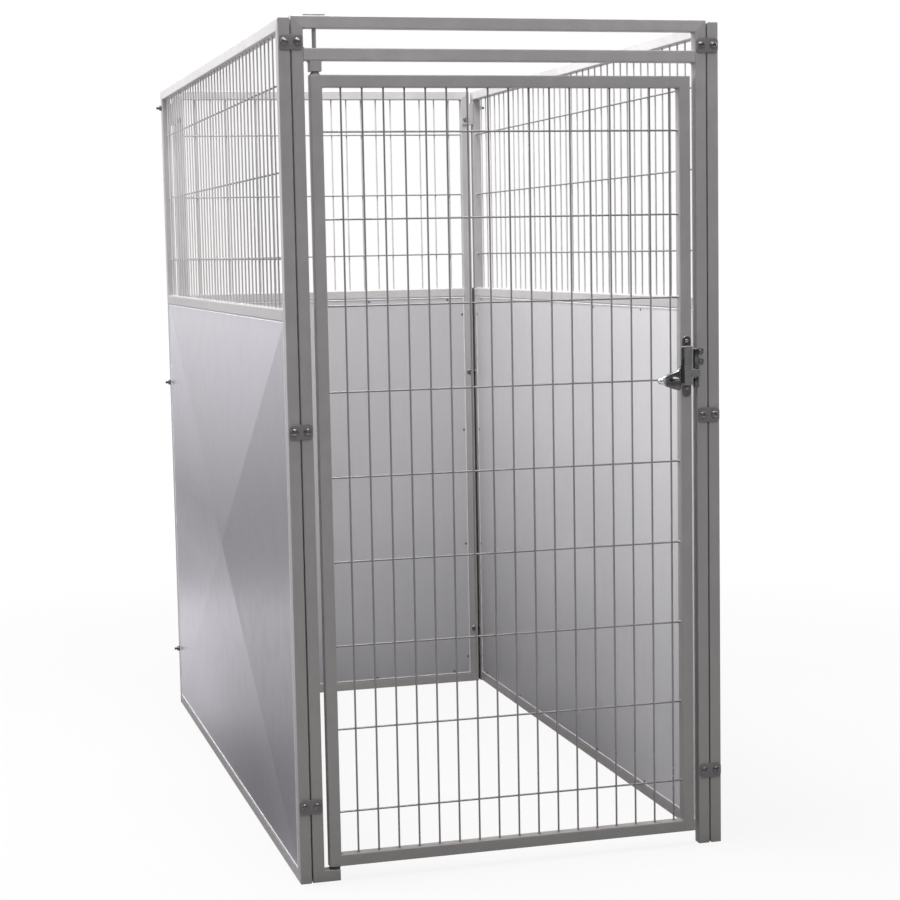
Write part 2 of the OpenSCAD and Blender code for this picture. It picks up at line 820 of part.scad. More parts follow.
// Bolts through the side panels' rear posts, heads in the rear gap, from x = 0 outwards
module side_bolt_places() {
  both_sides() {
    for (z = bolt_heights) {
      translate([side_in - angle_t, front_y + run_l - tube / 2, z]) rotate([0, 90, 0]) children();
    }
  }
}

// Bolts through the rear posts, heads inside the run, along y
module rear_bolt_places(from_bracket) {
  both_sides() {
    for (i = [0:2]) {
      y = front_y + run_l - tube - (i == 2 ? from_bracket : 0);
      translate([rear_post_x, y, rear_bolt_heights[i]]) rotate([-90, 0, 0]) children();
    }
  }
}

module rear_corner_holes() {
  side_bolt_places() translate([0, 0, -over]) cylinder(r = bolt_r + bolt_clear, h = tube);
  rear_bolt_places(0) translate([0, 0, -over]) cylinder(r = bolt_r + bolt_clear, h = tube + 2 * over);
}

module rear_corner_angles() {
  back = front_y + run_l;
  leg = tube + angle_t;
  color(coat) difference() {
    both_sides() {
      translate([side_in - angle_t, back - tube, 0]) rotate([90, 0, 90]) linear_extrude(angle_t) {
        square([leg, mid_rail_top - angle_r]);
        translate([angle_r, 0]) square([leg - angle_r, mid_rail_top]);
        translate([angle_r, mid_rail_top - angle_r]) circle(r = angle_r);
      }
      translate([side_in - angle_leg, back, 0]) cube([angle_leg, angle_t, mid_rail_top]);
    }
    rear_corner_holes();
  }
}

module rear_top_brackets() {
  y0 = front_y + run_l - tube - angle_t;
  color(coat) difference() {
    both_sides() {
      translate([side_in - angle_leg, y0, bracket_z]) cube([angle_leg, angle_t, bracket_h]);
      translate([side_in - angle_t, y0, bracket_z]) cube([angle_t, angle_t + tube, bracket_h]);
    }
    rear_corner_holes();
  }
}

module rear_corner_bolts() {
  color(zinc) {
    side_bolt_places() dome_bolt(angle_t + tube + nut_h + side_thread);
    rear_bolt_places(angle_t) dome_bolt(tube + angle_t + nut_h + rear_thread);
  }
}

module rear_corner_nuts() {
  color(zinc) {
    side_bolt_places() translate([0, 0, angle_t + tube]) hex_nut();
    rear_bolt_places(angle_t) translate([0, 0, tube + angle_t]) hex_nut();
  }
}

// Latch
module latch_screw_places() {
  r = base_w / 2;
  for (z = [base_up - r - screw_set_top, r + screw_set_low - base_down]) {
    translate([0, 0, latch_z + z]) children();
  }
}

// Bottom of each ear of the strike
strike_ears = [for (i = [0:1]) latch_z + strike_up - strike_ear_h - i * strike_ear_pitch];

// The screws sit past the doorway, in the middle of the strike's ears
module strike_screw_places() {
  for (z = strike_ears) {
    translate([front_w / 2 - tube + strike_ear / 2, 0, z + strike_ear_h / 2]) children();
  }
}

module pan_screw(seat) {
  depth_bar(0, 0, -seat - screw_head_h / 2, screw_r, screw_l);
  translate([0, -seat, 0]) rotate([90, 0, 0]) dome(screw_head_r, screw_head_h);
}

module latch_base_plate() {
  r = base_w / 2;
  color(chrome) on_latch() difference() {
    face_extrude(-base_t, base_t) {
      translate([-r, latch_z - base_down + r]) square([base_w, base_up + base_down - base_w]);
      translate([0, latch_z - base_down + r]) circle(r = r);
      translate([0, latch_z + base_up - r]) circle(r = r);
    }
    latch_screw_places() depth_bar(0, 0, -base_t - over, screw_r + bolt_clear, base_t + 2 * over);
  }
}

// Box with an open back, ears for the lever pin, slots for the bolt and a stop tab over the strike
module latch_housing() {
  inner_w = base_w - 2 * housing_wall;
  inner_h = housing_up + housing_down - 2 * housing_wall;
  slot_d = bolt_t + 2 * bolt_gap;
  slot_h = bolt_h + 2 * bolt_gap;
  color(chrome) on_latch() difference() {
    union() {
      translate([-base_w / 2, housing_front, ear_low]) cube([base_w, housing_d, housing_up + housing_down]);
      translate([housing_right - housing_wall, housing_front, latch_z - tab_h / 2])
        cube([tab_reach + housing_wall, tab_t, tab_h]);
      for (z = [ear_low, ear_top - ear_h]) {
        translate([lever_x, lever_y, z]) cylinder(r = barrel_r, h = ear_h);
        translate([lever_x, lever_y - barrel_r, z]) cube([-base_w / 2 - lever_x, 2 * barrel_r, ear_h]);
      }
    }
    translate([-inner_w / 2, housing_front + housing_wall, ear_low + housing_wall])
      cube([inner_w, housing_d, inner_h]);
    translate([-base_w, -base_t - slot_d, latch_z - slot_h / 2]) cube([2 * base_w, slot_d + over, slot_h]);
    translate([lever_x, lever_y, ear_low - over])
      cylinder(r = lever_pin_r + pin_clear / 2, h = housing_up + housing_down + 2 * over);
  }
}

module latch_screws() {
  color(zinc) on_latch() latch_screw_places() pan_screw(base_t);
}

module latch_lever_pin() {
  color(zinc) on_latch() translate([lever_x, lever_y, ear_low])
    cylinder(r = lever_pin_r, h = housing_up + housing_down);
}

// Face of the lever's web: hollowed above, folded along its lower edge
module lever_web() {
  steps = 6;
  hollow = [for (i = [0:steps])
    let (a = -i * lever_hollow_sweep / steps)
    [lever_root + lever_hollow_r * (cos(a) - 1), lever_rise + lever_hollow_r * sin(a)]];
  polygon(concat(
    [[lever_root, -lever_fold], [lever_root, lever_rise]],
    hollow,
    [[lever_tip, tip_bury - tip_drop], [lever_tip, -lever_fold]]
  ));
}

// Bar along the depth of the lever, square in section, as one edge of the flange
module lever_edge(x, z, y) {
  translate([x, y, z]) cube([flange_edge, lever_t, flange_edge]);
}

// Turned knob at the lever's tip: a ball of straight bands, flat at both ends
module lever_knob() {
  bands = 9;
  flat = 18;
  step = (180 - 2 * flat) / bands;
  side = [for (i = [0:bands]) tip_r * [cos(flat - 90 + i * step), sin(flat - 90 + i * step)]];
  rotate_extrude() polygon(concat([[0, side[0][1]]], side, [[0, side[bands][1]]]));
}

module latch_lever() {
  web_y = -lever_t / 2;
  // The turn puts the seam of the knob on its free side
  knob_turn = 200;
  color(chrome) on_latch() translate([lever_x, lever_y, latch_z]) difference() {
    union() {
      face_extrude(web_y, lever_t) lever_web();
      face_extrude(web_y - lip_d + lever_t, lip_d) difference() {
        lever_web();
        translate([0, -lip_w]) lever_web();
      }
      hull() {
        lever_edge(lever_root - flange_edge, -lever_fold, web_y);
        lever_edge(lever_tip, -lever_fold, web_y);
        lever_edge(lever_root - flange_edge, -lever_drop, web_y + flange_lean);
        lever_edge(lever_tip + tip_r, -lever_fold - tip_r / 2, web_y + flange_lean / 5);
      }
      translate([lever_tip, web_y, -tip_drop]) rotate([90, knob_turn, 0]) lever_knob();
      translate([0, 0, barrel_low - latch_z]) cylinder(r = barrel_r, h = barrel_h);
      translate([lever_root - over, web_y, barrel_low - latch_z])
        cube([over - lever_root, lever_t, lever_rise - barrel_low + latch_z]);
      translate([-arm_w / 2, 0, bolt_web - bolt_h / 2 + pocket_gap])
        cube([arm_w, arm_l, bolt_h - 2 * bolt_web - 2 * pocket_gap]);
    }
    face_extrude(-lip_d - over, 2 * over + lip_d)
      translate([lever_root - window_l, -lever_fold / 2]) rotate(-window_tilt) {
        square([window_l, window_w], center = true);
        for (e = [-1, 1]) translate([e * window_l / 2, 0]) circle(d = window_w);
      }
    translate([0, 0, barrel_low - latch_z - over])
      cylinder(r = lever_pin_r + pin_clear, h = barrel_h + 2 * over);
  }
}

// Closed coil round the lever pin, above the barrel
module latch_lever_spring() {
  sides = 6;
  rings = 8;
  coil_r = lever_pin_r + spring_d / 2 + bolt_gap;
  z0 = barrel_low + barrel_h + spring_d;
  room = ear_top - ear_h - z0 - spring_d;
  step = room / spring_turns;
  count = rings * spring_turns;
  function centre(i) = [coil_r * cos(i * 360 / rings), coil_r * sin(i * 360 / rings), i * step / rings];
  apart = [for (i = [0:count - rings], j = [i + rings - 2:min(i + rings + 2, count)])
    norm(centre(i) - centre(j))];
  echo(str("Least gap between two turns of the lever spring: ", min(apart) - spring_d));
  function ring(i) =
    let (a = i * 360 / rings)
    [for (k = [0:sides - 1])
      let (b = k * 360 / sides, r = coil_r + spring_d / 2 * cos(b))
      [r * cos(a), r * sin(a), i * step / rings + spring_d / 2 * sin(b)]];
  points = [for (i = [0:count]) each ring(i)];
  walls = [for (i = [0:count - 1], k = [0:sides - 1])
    let (a = i * sides + k, b = i * sides + (k + 1) % sides)
    each [[a, b, b + sides], [a, b + sides, a + sides]]];
  caps = [[for (k = [sides - 1:-1:0]) k], [for (k = [0:sides - 1]) count * sides + k]];
  color(zinc) on_latch() translate([lever_x, lever_y, z0])
    polyhedron(points = points, faces = concat(walls, caps));
}

module latch_bolt() {
  tail = lever_x - arm_w / 2 - pocket_gap - bolt_web;
  pocket = arm_w + 2 * pocket_gap;
  color(zinc) on_latch() difference() {
    translate([tail, bolt_front, latch_z - bolt_h / 2]) cube([bolt_end - tail, bolt_t, bolt_h]);
    translate([lever_x - pocket / 2, bolt_front - over, latch_z - bolt_h / 2 + bolt_web])
      cube([pocket, bolt_t + 2 * over, bolt_h - 2 * bolt_web]);
  }
}

// Plate on the inner side of the post with two jaws, a nose behind the stop tab and two ears in front
module latch_strike() {
  jaw_w = strike_face - strike_left;
  jaw_d = housing_d;
  jaw_y = -jaw_d - jaw_set;
  half = tab_h / 2 + jaw_gap;
  nose_y = housing_front + tab_t + bolt_gap;
  z0 = latch_z - strike_down;
  color(chrome) on_latch() difference() {
    union() {
      translate([strike_face, jaw_y, z0]) cube([strike_t, strike_wrap - jaw_y, strike_up + strike_down]);
      translate([strike_left, jaw_y, latch_z + half]) cube([jaw_w, jaw_d, strike_up - half]);
      translate([strike_left, jaw_y, z0]) cube([jaw_w, jaw_d, strike_down - half]);
      translate([nose_left, nose_y, latch_z - bolt_h / 2])
        cube([strike_face - nose_left + strike_t / 2, bolt_front - bolt_gap - nose_y, bolt_h]);
      for (z = strike_ears) {
        translate([strike_face, -strike_t, z]) cube([strike_t + strike_ear, strike_t, strike_ear_h]);
      }
    }
    translate([-latch_x, 0, 0]) strike_screw_places()
      depth_bar(0, 0, -strike_t - over, screw_r + bolt_clear, strike_t + 2 * over);
  }
}

module latch_strike_screws() {
  color(zinc) translate([0, front_y, 0]) strike_screw_places() pan_screw(strike_t);
}

front_left_post();
front_right_post();
front_top_rail();
front_transom_rail();
hinge_stub();
hinge_foot();
lower_hinge_pin();
foot_spacer();
upper_hinge_pin();
left_front_post();
left_rear_post();
left_top_rail();
left_mid_rail();
left_bottom_rail();
left_sheet();
left_uprights();
left_cross_wires();
right_front_post();
right_rear_post();
right_top_rail();
right_mid_rail();
right_bottom_rail();
right_sheet();
right_uprights();
right_cross_wires();
rear_left_post();
rear_right_post();
rear_top_rail();
rear_mid_rail();
rear_bottom_rail();
rear_sheet();
rear_uprights();
rear_cross_wires();
sheet_cleats();
sheet_rivets();
gate_hinge_stile();
gate_latch_stile();
gate_top_rail();
gate_bottom_rail();
gate_uprights();
gate_cross_wires();
gate_upper_bush();
gate_lower_bush();
front_corner_plates();
front_plate_bolts();
front_plate_inserts();
rear_corner_angles();
rear_top_brackets();
rear_corner_bolts();
rear_corner_nuts();
latch_base_plate();
latch_housing();
latch_screws();
latch_lever();
latch_lever_pin();
latch_lever_spring();
latch_bolt();
latch_strike();
latch_strike_screws();
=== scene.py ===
# %% [markdown]
# # Dressing an outdoor dog run
#
# The run is four welded panels of square steel tube, bolted together at the corners. The front
# panel holds a gate of tube and wire, and the other three have wire above a rail and a metal
# sheet below it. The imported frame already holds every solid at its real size, in metres. This
# lesson looks at it as the photograph does, gives each part its finish, and models what a plain
# solid leaves out: eased edges, weld beads, socket heads, threads and the cast latch.

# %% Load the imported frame
import json
import math
import bmesh
import bpy
from mathutils import Matrix, Vector


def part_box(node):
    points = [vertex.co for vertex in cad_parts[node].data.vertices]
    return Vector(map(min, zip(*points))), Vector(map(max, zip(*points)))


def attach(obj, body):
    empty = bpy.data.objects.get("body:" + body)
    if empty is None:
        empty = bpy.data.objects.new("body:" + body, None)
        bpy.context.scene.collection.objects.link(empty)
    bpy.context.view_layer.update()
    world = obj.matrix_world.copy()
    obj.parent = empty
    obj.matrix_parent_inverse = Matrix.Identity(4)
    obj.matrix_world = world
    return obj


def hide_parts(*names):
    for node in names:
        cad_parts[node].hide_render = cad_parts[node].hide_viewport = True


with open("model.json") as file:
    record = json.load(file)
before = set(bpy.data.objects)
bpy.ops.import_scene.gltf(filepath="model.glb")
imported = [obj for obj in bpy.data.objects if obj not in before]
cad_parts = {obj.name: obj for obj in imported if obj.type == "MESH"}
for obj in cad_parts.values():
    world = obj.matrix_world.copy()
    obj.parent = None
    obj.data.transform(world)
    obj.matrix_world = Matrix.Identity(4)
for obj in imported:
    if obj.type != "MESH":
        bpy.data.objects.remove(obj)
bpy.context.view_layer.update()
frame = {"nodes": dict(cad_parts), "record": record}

# %% [markdown]
# ## The camera
#
# The photograph was taken from a little left of the gate, at about eye height of a kneeling
# person, with a long lens. The place and the three angles were fitted to the corners of the
# panels. The lens shift keeps the photograph's framing, as if it were cropped from a larger one.

# %% Place the camera
EYE = Vector((-1.27114, -4.95279, 1.34673))
YAW, PITCH, ROLL = (math.radians(a) for a in (14.9275, 6.0692, -1.1516))

ahead = Vector((math.sin(YAW) * math.cos(PITCH), math.cos(YAW) * math.cos(PITCH), -math.sin(PITCH)))
level_right = Vector((math.cos(YAW), -math.sin(YAW), 0))
level_up = level_right.cross(ahead)
right = level_right * math.cos(ROLL) + level_up * math.sin(ROLL)
up = level_up * math.cos(ROLL) - level_right * math.sin(ROLL)

lens = bpy.data.cameras.new("photo_lens")
lens.sensor_width = 36
lens.lens = 78.75
lens.shift_x = 0.02856
lens.shift_y = 0.01182
lens.clip_end = 200
viewer = bpy.data.objects.new("photo_camera", lens)
viewer.matrix_world = Matrix.Translation(EYE) @ Matrix((right, up, -ahead)).transposed().to_4x4()
bpy.context.scene.collection.objects.link(viewer)
bpy.context.scene.camera = viewer
print("camera at", [round(v, 2) for v in EYE], "looking along", [round(v, 2) for v in ahead])

# %% [markdown]
# ## Writing shader maths
#
# A finish is a tree of nodes, and wiring Math nodes by hand hides the sum that they do. This
# class wraps one socket, so that a line such as `0.3 + 0.1 * cloud` adds the nodes by itself.
# Its one method `add` makes every other kind of node: settings first, then socket values.

# %% A socket with arithmetic
class Shade:
    """One output socket of a node tree."""

    def __init__(self, tree, socket=None):
        self.tree = tree
        self.socket = socket

    def add(self, kind, settings=None, inputs=None, output=0):
        node = self.tree.nodes.new(kind)
        for name, value in (settings or {}).items():
            if name == "stops":
                while len(node.color_ramp.elements) < len(value):
                    node.color_ramp.elements.new(1)
                for element, (place, colour) in zip(node.color_ramp.elements, value):
                    element.position = place
                    element.color = colour
            else:
                setattr(node, name, value)
        for name, value in (inputs or {}).items():
            if isinstance(value, Shade):
                self.tree.links.new(value.socket, node.inputs[name])
            else:
                node.inputs[name].default_value = value
        return Shade(self.tree, node.outputs[output] if len(node.outputs) else None)

    def sum(self, operation, *terms):
        return self.add("ShaderNodeMath", {"operation": operation}, dict(enumerate(terms)))

    def __add__(self, other):
        return self.sum("ADD", self, other)

    def __sub__(self, other):
        return self.sum("SUBTRACT", self, other)

    def __rsub__(self, other):
        return self.sum("SUBTRACT", other, self)

    def __mul__(self, other):
        return self.sum("MULTIPLY", self, other)

    def __truediv__(self, other):
        return self.sum("DIVIDE", self, other)

    def __abs__(self):
        return self.sum("ABSOLUTE", self)

    __radd__ = __add__
    __rmul__ = __mul__

    def larger(self, other):
        return self.sum("MAXIMUM", self, other)

    def ease(self, start, end):
        """0 before start and 1 after end, with a soft change between."""
        return self.add("ShaderNodeMapRange", {"interpolation_type": "SMOOTHSTEP"},
                        {"Value": self, "From Min": start, "From Max": end})

    def blend(self, low, high):
        """A colour from low to high, with this socket as the factor."""
        return self.add("ShaderNodeMix", {"data_type": "RGBA"}, {0: self, 6: low, 7: high}, output=2)

    def ramp(self, *stops, tint):
        """A grey from (place, grey) pairs, with this socket as the place."""
        colours = [(place, grey(value, tint)) for place, value in stops]
        return self.add("ShaderNodeValToRGB", {"stops": colours}, {"Fac": self})

    def axis(self, letter):
        return self.add("ShaderNodeSeparateXYZ", None, {0: self}, output=letter)

    def noise(self, scale, detail=2.0, stretch=None):
        place = self
        if stretch:
            place = self.add("ShaderNodeMapping", None, {"Vector": self, "Scale": stretch})
        return self.add("ShaderNodeTexNoise", None, {"Vector": place, "Scale": scale, "Detail": detail})


COAT_TINT = (1.02, 0.985, 0.995)
DUST_AND_SHADE_TINT = (1.05, 0.985, 0.95)
METAL_TINT = (1.0, 0.975, 1.035)
INSIDE_TINT = (1.0, 0.985, 1.010)


def grey(value, tint=(1, 1, 1)):
    """A linear grey as a colour, with a slight tint."""
    return tuple(value * share for share in tint) + (1,)


def start_finish(name):
    """A new material, and the socket of its object coordinates."""
    material = bpy.data.materials.new(name)
    material.use_nodes = True
    material.node_tree.nodes.clear()
    return material, Shade(material.node_tree).add("ShaderNodeTexCoord", output="Object")


def end_finish(place, sockets):
    surface = place.add("ShaderNodeBsdfPrincipled", None, sockets)
    place.add("ShaderNodeOutputMaterial", None, {"Surface": surface})


print("shader maths ready")

# %% [markdown]
# ## Powder coat
#
# The tubes, wires and plates are powder coated: a grey resin that melts to an even skin with a
# faint orange-peel surface. The film is never quite equal, so its tone drifts over a hand's
# width, and near the floor it gathers patches of dust. The colour also darkens gradually from
# 1.7 m down to the floor, which is painted shade. One function makes all the coats: the closed
# panels' mesh and the high rails get paler copies, which are painted light, and the corner plates
# are darker. The gate's wires have a thin, metallic coat whose downward faces are painted darker,
# a painted shade. The peel is a bump at its real size, under a millimetre.

# %% Make the coats
def coat_finish(name, colour, gloss, peel_depth, metal=0.0, painted_underside_share=0.0):
    material, place = start_finish(name)
    height = place.axis("Z")
    film = place.noise(3.0, 4)
    patch = place.noise(22.0, 5)
    peel = place.noise(380.0, 1)
    dust = (1 - height.ease(0.0, 0.32)) * patch.ease(0.35, 0.7)
    # Painted shade: the colour darkens gradually from 1.7 m down to the floor.
    painted_low_shade = (1 - height.ease(0.0, 1.7)) * (0.75 + 0.5 * (film - 0.5))
    deep, pale = grey(colour * 0.92, COAT_TINT), grey(colour * 1.07, COAT_TINT)
    tone = (0.6 * film + 0.4 * patch).ease(0.36, 0.64).blend(deep, pale)
    tone = (0.85 * painted_low_shade).blend(tone, grey(colour * 0.66, DUST_AND_SHADE_TINT))
    tone = (0.30 * dust).blend(tone, grey(colour * 0.62, DUST_AND_SHADE_TINT))
    # Painted shade: faces that point down are darkened, by the share given.
    painted_underside_shade = (0 - place.add("ShaderNodeTexCoord", output="Normal").axis("Z")).ease(0.05, 0.60)
    tone = (painted_underside_share * painted_underside_shade).blend(tone, grey(colour * 0.15, DUST_AND_SHADE_TINT))
    bump = place.add("ShaderNodeBump", None, {"Height": peel, "Strength": 0.35, "Distance": peel_depth})
    end_finish(place, {
        "Base Color": tone,
        "Metallic": metal,
        "Roughness": gloss + 0.10 * patch + 0.22 * dust,
        "Normal": bump,
    })
    return material


tube_coat = coat_finish("tube_coat", 0.385, gloss=0.33, peel_depth=0.0004)
# Painted light: these three coats are paler copies of the tube coat.
painted_light_rail_coat = coat_finish("painted_light_rail_coat", 0.450, gloss=0.33, peel_depth=0.0004)
painted_light_top_rail_coat = coat_finish("painted_light_top_rail_coat", 0.560, gloss=0.33, peel_depth=0.0004)
wire_coat = coat_finish("wire_coat", 0.340, gloss=0.18, peel_depth=0.0002, metal=0.50, painted_underside_share=0.75)
painted_light_mesh_coat = coat_finish("painted_light_mesh_coat", 0.500, gloss=0.30, peel_depth=0.0002)
plate_coat = coat_finish("plate_coat", 0.205, gloss=0.30, peel_depth=0.0003)
coats = (tube_coat, painted_light_rail_coat, painted_light_top_rail_coat, wire_coat, painted_light_mesh_coat, plate_coat)
print("coats:", ", ".join(m.name for m in coats))

# %% [markdown]
# ## Bare sheet
#
# The lower half of three panels is closed by two thin skins of bare aluminium, flush with the
# tubes on both sides. Each is pressed with a shallow cross from corner to corner, so four flat
# faces meet at its middle. The colour paints each face lighter or darker, which is painted light
# and shade. Outside, the colour darkens towards the floor, a painted shade, with a paler patch low
# towards one end, a painted highlight. Inside the metal is more matt, and its colour is paler,
# darker towards the floor, and on the side skins paler at the front and darker at the rear, all
# painted light and shade. Object coordinates tell the four faces apart, and the normal tells
# outside from inside. Rolling leaves fine upright lines, from a stretched noise.

# %% Make the sheet finish
def sheet_finish(name, node, along, outward, inside_lit_tone, inside_light_drift):
    low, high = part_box(node)
    axis = "XYZ".index(along)
    middle, half = (low[axis] + high[axis]) / 2, (high[axis] - low[axis]) / 2
    rise, half_rise = (low.z + high.z) / 2, (high.z - low.z) / 2
    material, place = start_finish(name)
    normal = place.add("ShaderNodeTexCoord", output="Normal")
    outside = (normal.axis(outward) * place.axis(outward)).ease(-0.05, 0.05)

    smear = place.noise(3.0, 4, (1.0, 1.0, 0.5))
    rolled = place.noise(420.0, 2, (1.0, 1.0, 0.02))
    wet = place.noise(16.0, 4)
    height = place.axis("Z") / high.z + 0.03 * (smear - 0.5)
    across = (place.axis(along) - middle) / half
    updown = (place.axis("Z") - rise) / half_rise
    side_face = (abs(across) - abs(updown)).ease(-0.006, 0.006)
    rear_half = across.ease(-0.02, 0.02)

    # Painted light and shade outside: each facet has its own tone, and all darken towards the floor.
    upper = height.ramp((0.0, 0.30), (0.2, 0.40), (0.50, 0.50), (0.53, 0.40), (0.7, 0.46), (1.0, 0.60),
                        tint=METAL_TINT)
    front = height.ramp((0.0, 0.28), (0.2, 0.32), (0.45, 0.34), (0.7, 0.37), (1.0, 0.46), tint=METAL_TINT)
    rear = height.ramp((0.0, 0.36), (0.3, 0.50), (0.45, 0.54), (0.56, 0.42), (0.75, 0.54), (1.0, 0.68),
                       tint=METAL_TINT)
    painted_facet_light = side_face.blend(upper, rear_half.blend(front, rear))
    # Painted highlight: a paler patch low towards one end.
    painted_low_highlight = across.ease(-0.6, 0.6) * (1 - height.ease(0.1, 0.5))
    painted_facet_light = (0.8 * painted_low_highlight).blend(painted_facet_light, grey(0.70, METAL_TINT))
    # Painted light and shade inside: paler overall, darker towards the floor, paler at the front, darker at
    # the rear, with a faint tone per facet.
    inside_painted_light = height.ramp((0.0, 0.33), (0.15, 0.47), (0.45, inside_lit_tone), (1.0, inside_lit_tone), tint=INSIDE_TINT)
    inside_painted_light = (inside_light_drift * (1 - across.ease(-1.0, 0.0))).blend(inside_painted_light, grey(0.90, INSIDE_TINT))
    inside_painted_light = (0.5 * inside_light_drift * across.ease(0.0, 1.0)).blend(inside_painted_light, grey(0.30, INSIDE_TINT))
    inside_painted_light = (0.10 * side_face).blend(inside_painted_light, grey(0.5))
    tone = outside.blend(inside_painted_light, painted_facet_light)
    tone = (0.06 * rolled.ease(0.4, 0.7)).blend(tone, grey(0.25))
    end_finish(place, {
        "Base Color": tone,
        "Metallic": 0.20 + 0.45 * outside,
        "Roughness": 0.38 - 0.10 * outside + 0.05 * wet.ease(0.4, 0.7),
        "Normal": place.add("ShaderNodeBump", None, {"Height": rolled, "Strength": 0.08, "Distance": 0.0003}),
    })
    return material


side_sheet = sheet_finish("side_sheet", "left_sheet", "Y", "X", inside_lit_tone=0.62, inside_light_drift=0.5)
rear_sheet = sheet_finish("rear_sheet", "rear_sheet", "X", "Y", inside_lit_tone=0.53, inside_light_drift=0.0)
print("sheets:", side_sheet.name, rear_sheet.name)

# %% [markdown]
# ## Plated steel, latch metal and nylon
#
# Bolts, nuts and rivets are zinc plated, and outdoors the zinc has gone dark with a fine cloudy
# crystal; the hinge pin's zinc is paler and dull. The latch is a die casting with a dark polished
# plate that shows smudges and a satin box. Its upward-facing surfaces, the lever's thumb end and
# its hollow are painted paler, a painted highlight, and the lever's pivot is painted black, a
# painted shade. Its pin and spring take the black nylon finish, also painted shade. The hinge
# washers are black nylon with a fine matt grain.

# %% Make the small finishes
def zinc_finish(name, deep, pale, metal, gloss):
    material, place = start_finish(name)
    crystal = place.noise(260.0, 3)
    cloud = place.noise(45.0, 3)
    mottle = (0.5 * crystal + 0.5 * cloud).ease(0.3, 0.7)
    bump = place.add("ShaderNodeBump", None, {"Height": crystal, "Strength": 0.15, "Distance": 0.0001})
    end_finish(place, {
        "Base Color": mottle.blend(grey(deep, COAT_TINT), grey(pale, COAT_TINT)),
        "Metallic": metal,
        "Roughness": gloss + 0.16 * cloud,
        "Normal": bump,
    })
    return material


def latch_finish(name, deep, pale, metal, gloss):
    """Dark plate, with a painted highlight on its upward-facing surfaces."""
    material, place = start_finish(name)
    smudge = place.noise(70.0, 4)
    # Painted highlight: upward-facing surfaces are paler.
    painted_top_highlight = place.add("ShaderNodeTexCoord", output="Normal").axis("Z").ease(0.35, 0.75)
    dark = smudge.ease(0.3, 0.7).blend(grey(deep), grey(pale))
    end_finish(place, {
        "Base Color": (0.8 * painted_top_highlight).blend(dark, grey(0.75)),
        "Metallic": metal,
        "Roughness": gloss + 0.12 * smudge,
    })
    return material


# Where the lever's three zones begin and are complete along X, in metres
THUMB_ZONE = (0.350, 0.359)
HOLLOW_ZONE = (0.366, 0.380)
PIVOT_ZONE = (0.3905, 0.3925)


def lever_finish():
    """Dark casting with a painted highlight at the thumb end and along the hollow, and painted shade in black
    at the pivot.
    """
    material, place = start_finish("lever_metal")
    smudge = place.noise(70.0, 4)
    # Painted highlight: paler at the thumb end and along the upward-facing hollow.
    painted_thumb_highlight = 1 - place.axis("X").ease(*THUMB_ZONE)
    painted_top_highlight = place.add("ShaderNodeTexCoord", output="Normal").axis("Z").ease(0.35, 0.75)
    painted_hollow_highlight = painted_top_highlight * place.axis("X").ease(*HOLLOW_ZONE)
    painted_highlights = (0.90 * painted_thumb_highlight).larger(0.65 * painted_hollow_highlight)
    # Painted shade: the pivot is black and not metallic.
    painted_pivot_shade = place.axis("X").ease(*PIVOT_ZONE)
    tone = painted_highlights.blend(smudge.ease(0.3, 0.7).blend(grey(0.10), grey(0.16)), grey(0.85))
    end_finish(place, {
        "Base Color": painted_pivot_shade.blend(tone, grey(0.02)),
        "Metallic": 1 - painted_pivot_shade,
        "Roughness": 0.14 + 0.12 * smudge + 0.40 * painted_pivot_shade,
    })
    return material


def nylon_finish():
    material, place = start_finish("black_nylon")
    grain = place.noise(900.0, 2)
    end_finish(place, {
        "Base Color": place.noise(60.0, 3).blend(grey(0.018), grey(0.034)),
        "Roughness": 0.48 + 0.14 * grain,
        "Normal": place.add("ShaderNodeBump", None, {"Height": grain, "Strength": 0.2, "Distance": 0.0001}),
    })
    return material


zinc_plate = zinc_finish("zinc_plate", deep=0.14, pale=0.26, metal=1.0, gloss=0.22)
bright_zinc = zinc_finish("bright_zinc", deep=0.26, pale=0.40, metal=1.0, gloss=0.18)
dull_zinc = zinc_finish("dull_zinc", deep=0.33, pale=0.42, metal=0.25, gloss=0.40)
latch_plate = latch_finish("latch_plate", deep=0.12, pale=0.20, metal=0.9, gloss=0.16)
latch_satin = latch_finish("latch_satin", deep=0.22, pale=0.28, metal=0.6, gloss=0.34)
lever_metal = lever_finish()
black_nylon = nylon_finish()
small_finishes = (zinc_plate, bright_zinc, dull_zinc, latch_plate, latch_satin, lever_metal, black_nylon)
print("small finishes:", ", ".join(m.name for m in small_finishes))

# %% [markdown]
# ## Painting the frame's own parts
#
# Every part of the frame names a finish in its record. A short table turns these names into the
# materials above, so no part is missed. A few go their own way: the rear sheet is pressed across,
# the collar on top of the gate is painted with it, and the latch's pin and spring take the black
# nylon finish, which is painted shade. The high rails, two mid rails and the upright wires of the
# closed panels take paler coats, which are painted light.

# %% Paint every node
FINISH_OF_SLOT = {
    "powder_coat": tube_coat, "wire_coat": wire_coat, "plate_coat": plate_coat, "panel_sheet": side_sheet,
    "zinc_plate": zinc_plate, "latch_chrome": latch_plate, "bush_nylon": black_nylon,
}
# The paler coats given here are painted light.
FINISH_OF_NODE = {
    "rear_sheet": rear_sheet, "gate_upper_bush": tube_coat, "rear_top_rail": painted_light_mesh_coat,
    "left_top_rail": painted_light_top_rail_coat, "right_top_rail": painted_light_top_rail_coat,
    "front_top_rail": painted_light_rail_coat, "front_transom_rail": painted_light_rail_coat,
    # Painted shade: the lever's pin and spring are given the black nylon finish.
    "latch_lever_pin": black_nylon, "latch_lever_spring": black_nylon,
}
for panel in ("left", "right", "rear"):
    FINISH_OF_NODE[panel + "_uprights"] = painted_light_mesh_coat
for rail in ("right_mid_rail", "rear_mid_rail"):
    FINISH_OF_NODE[rail] = painted_light_mesh_coat

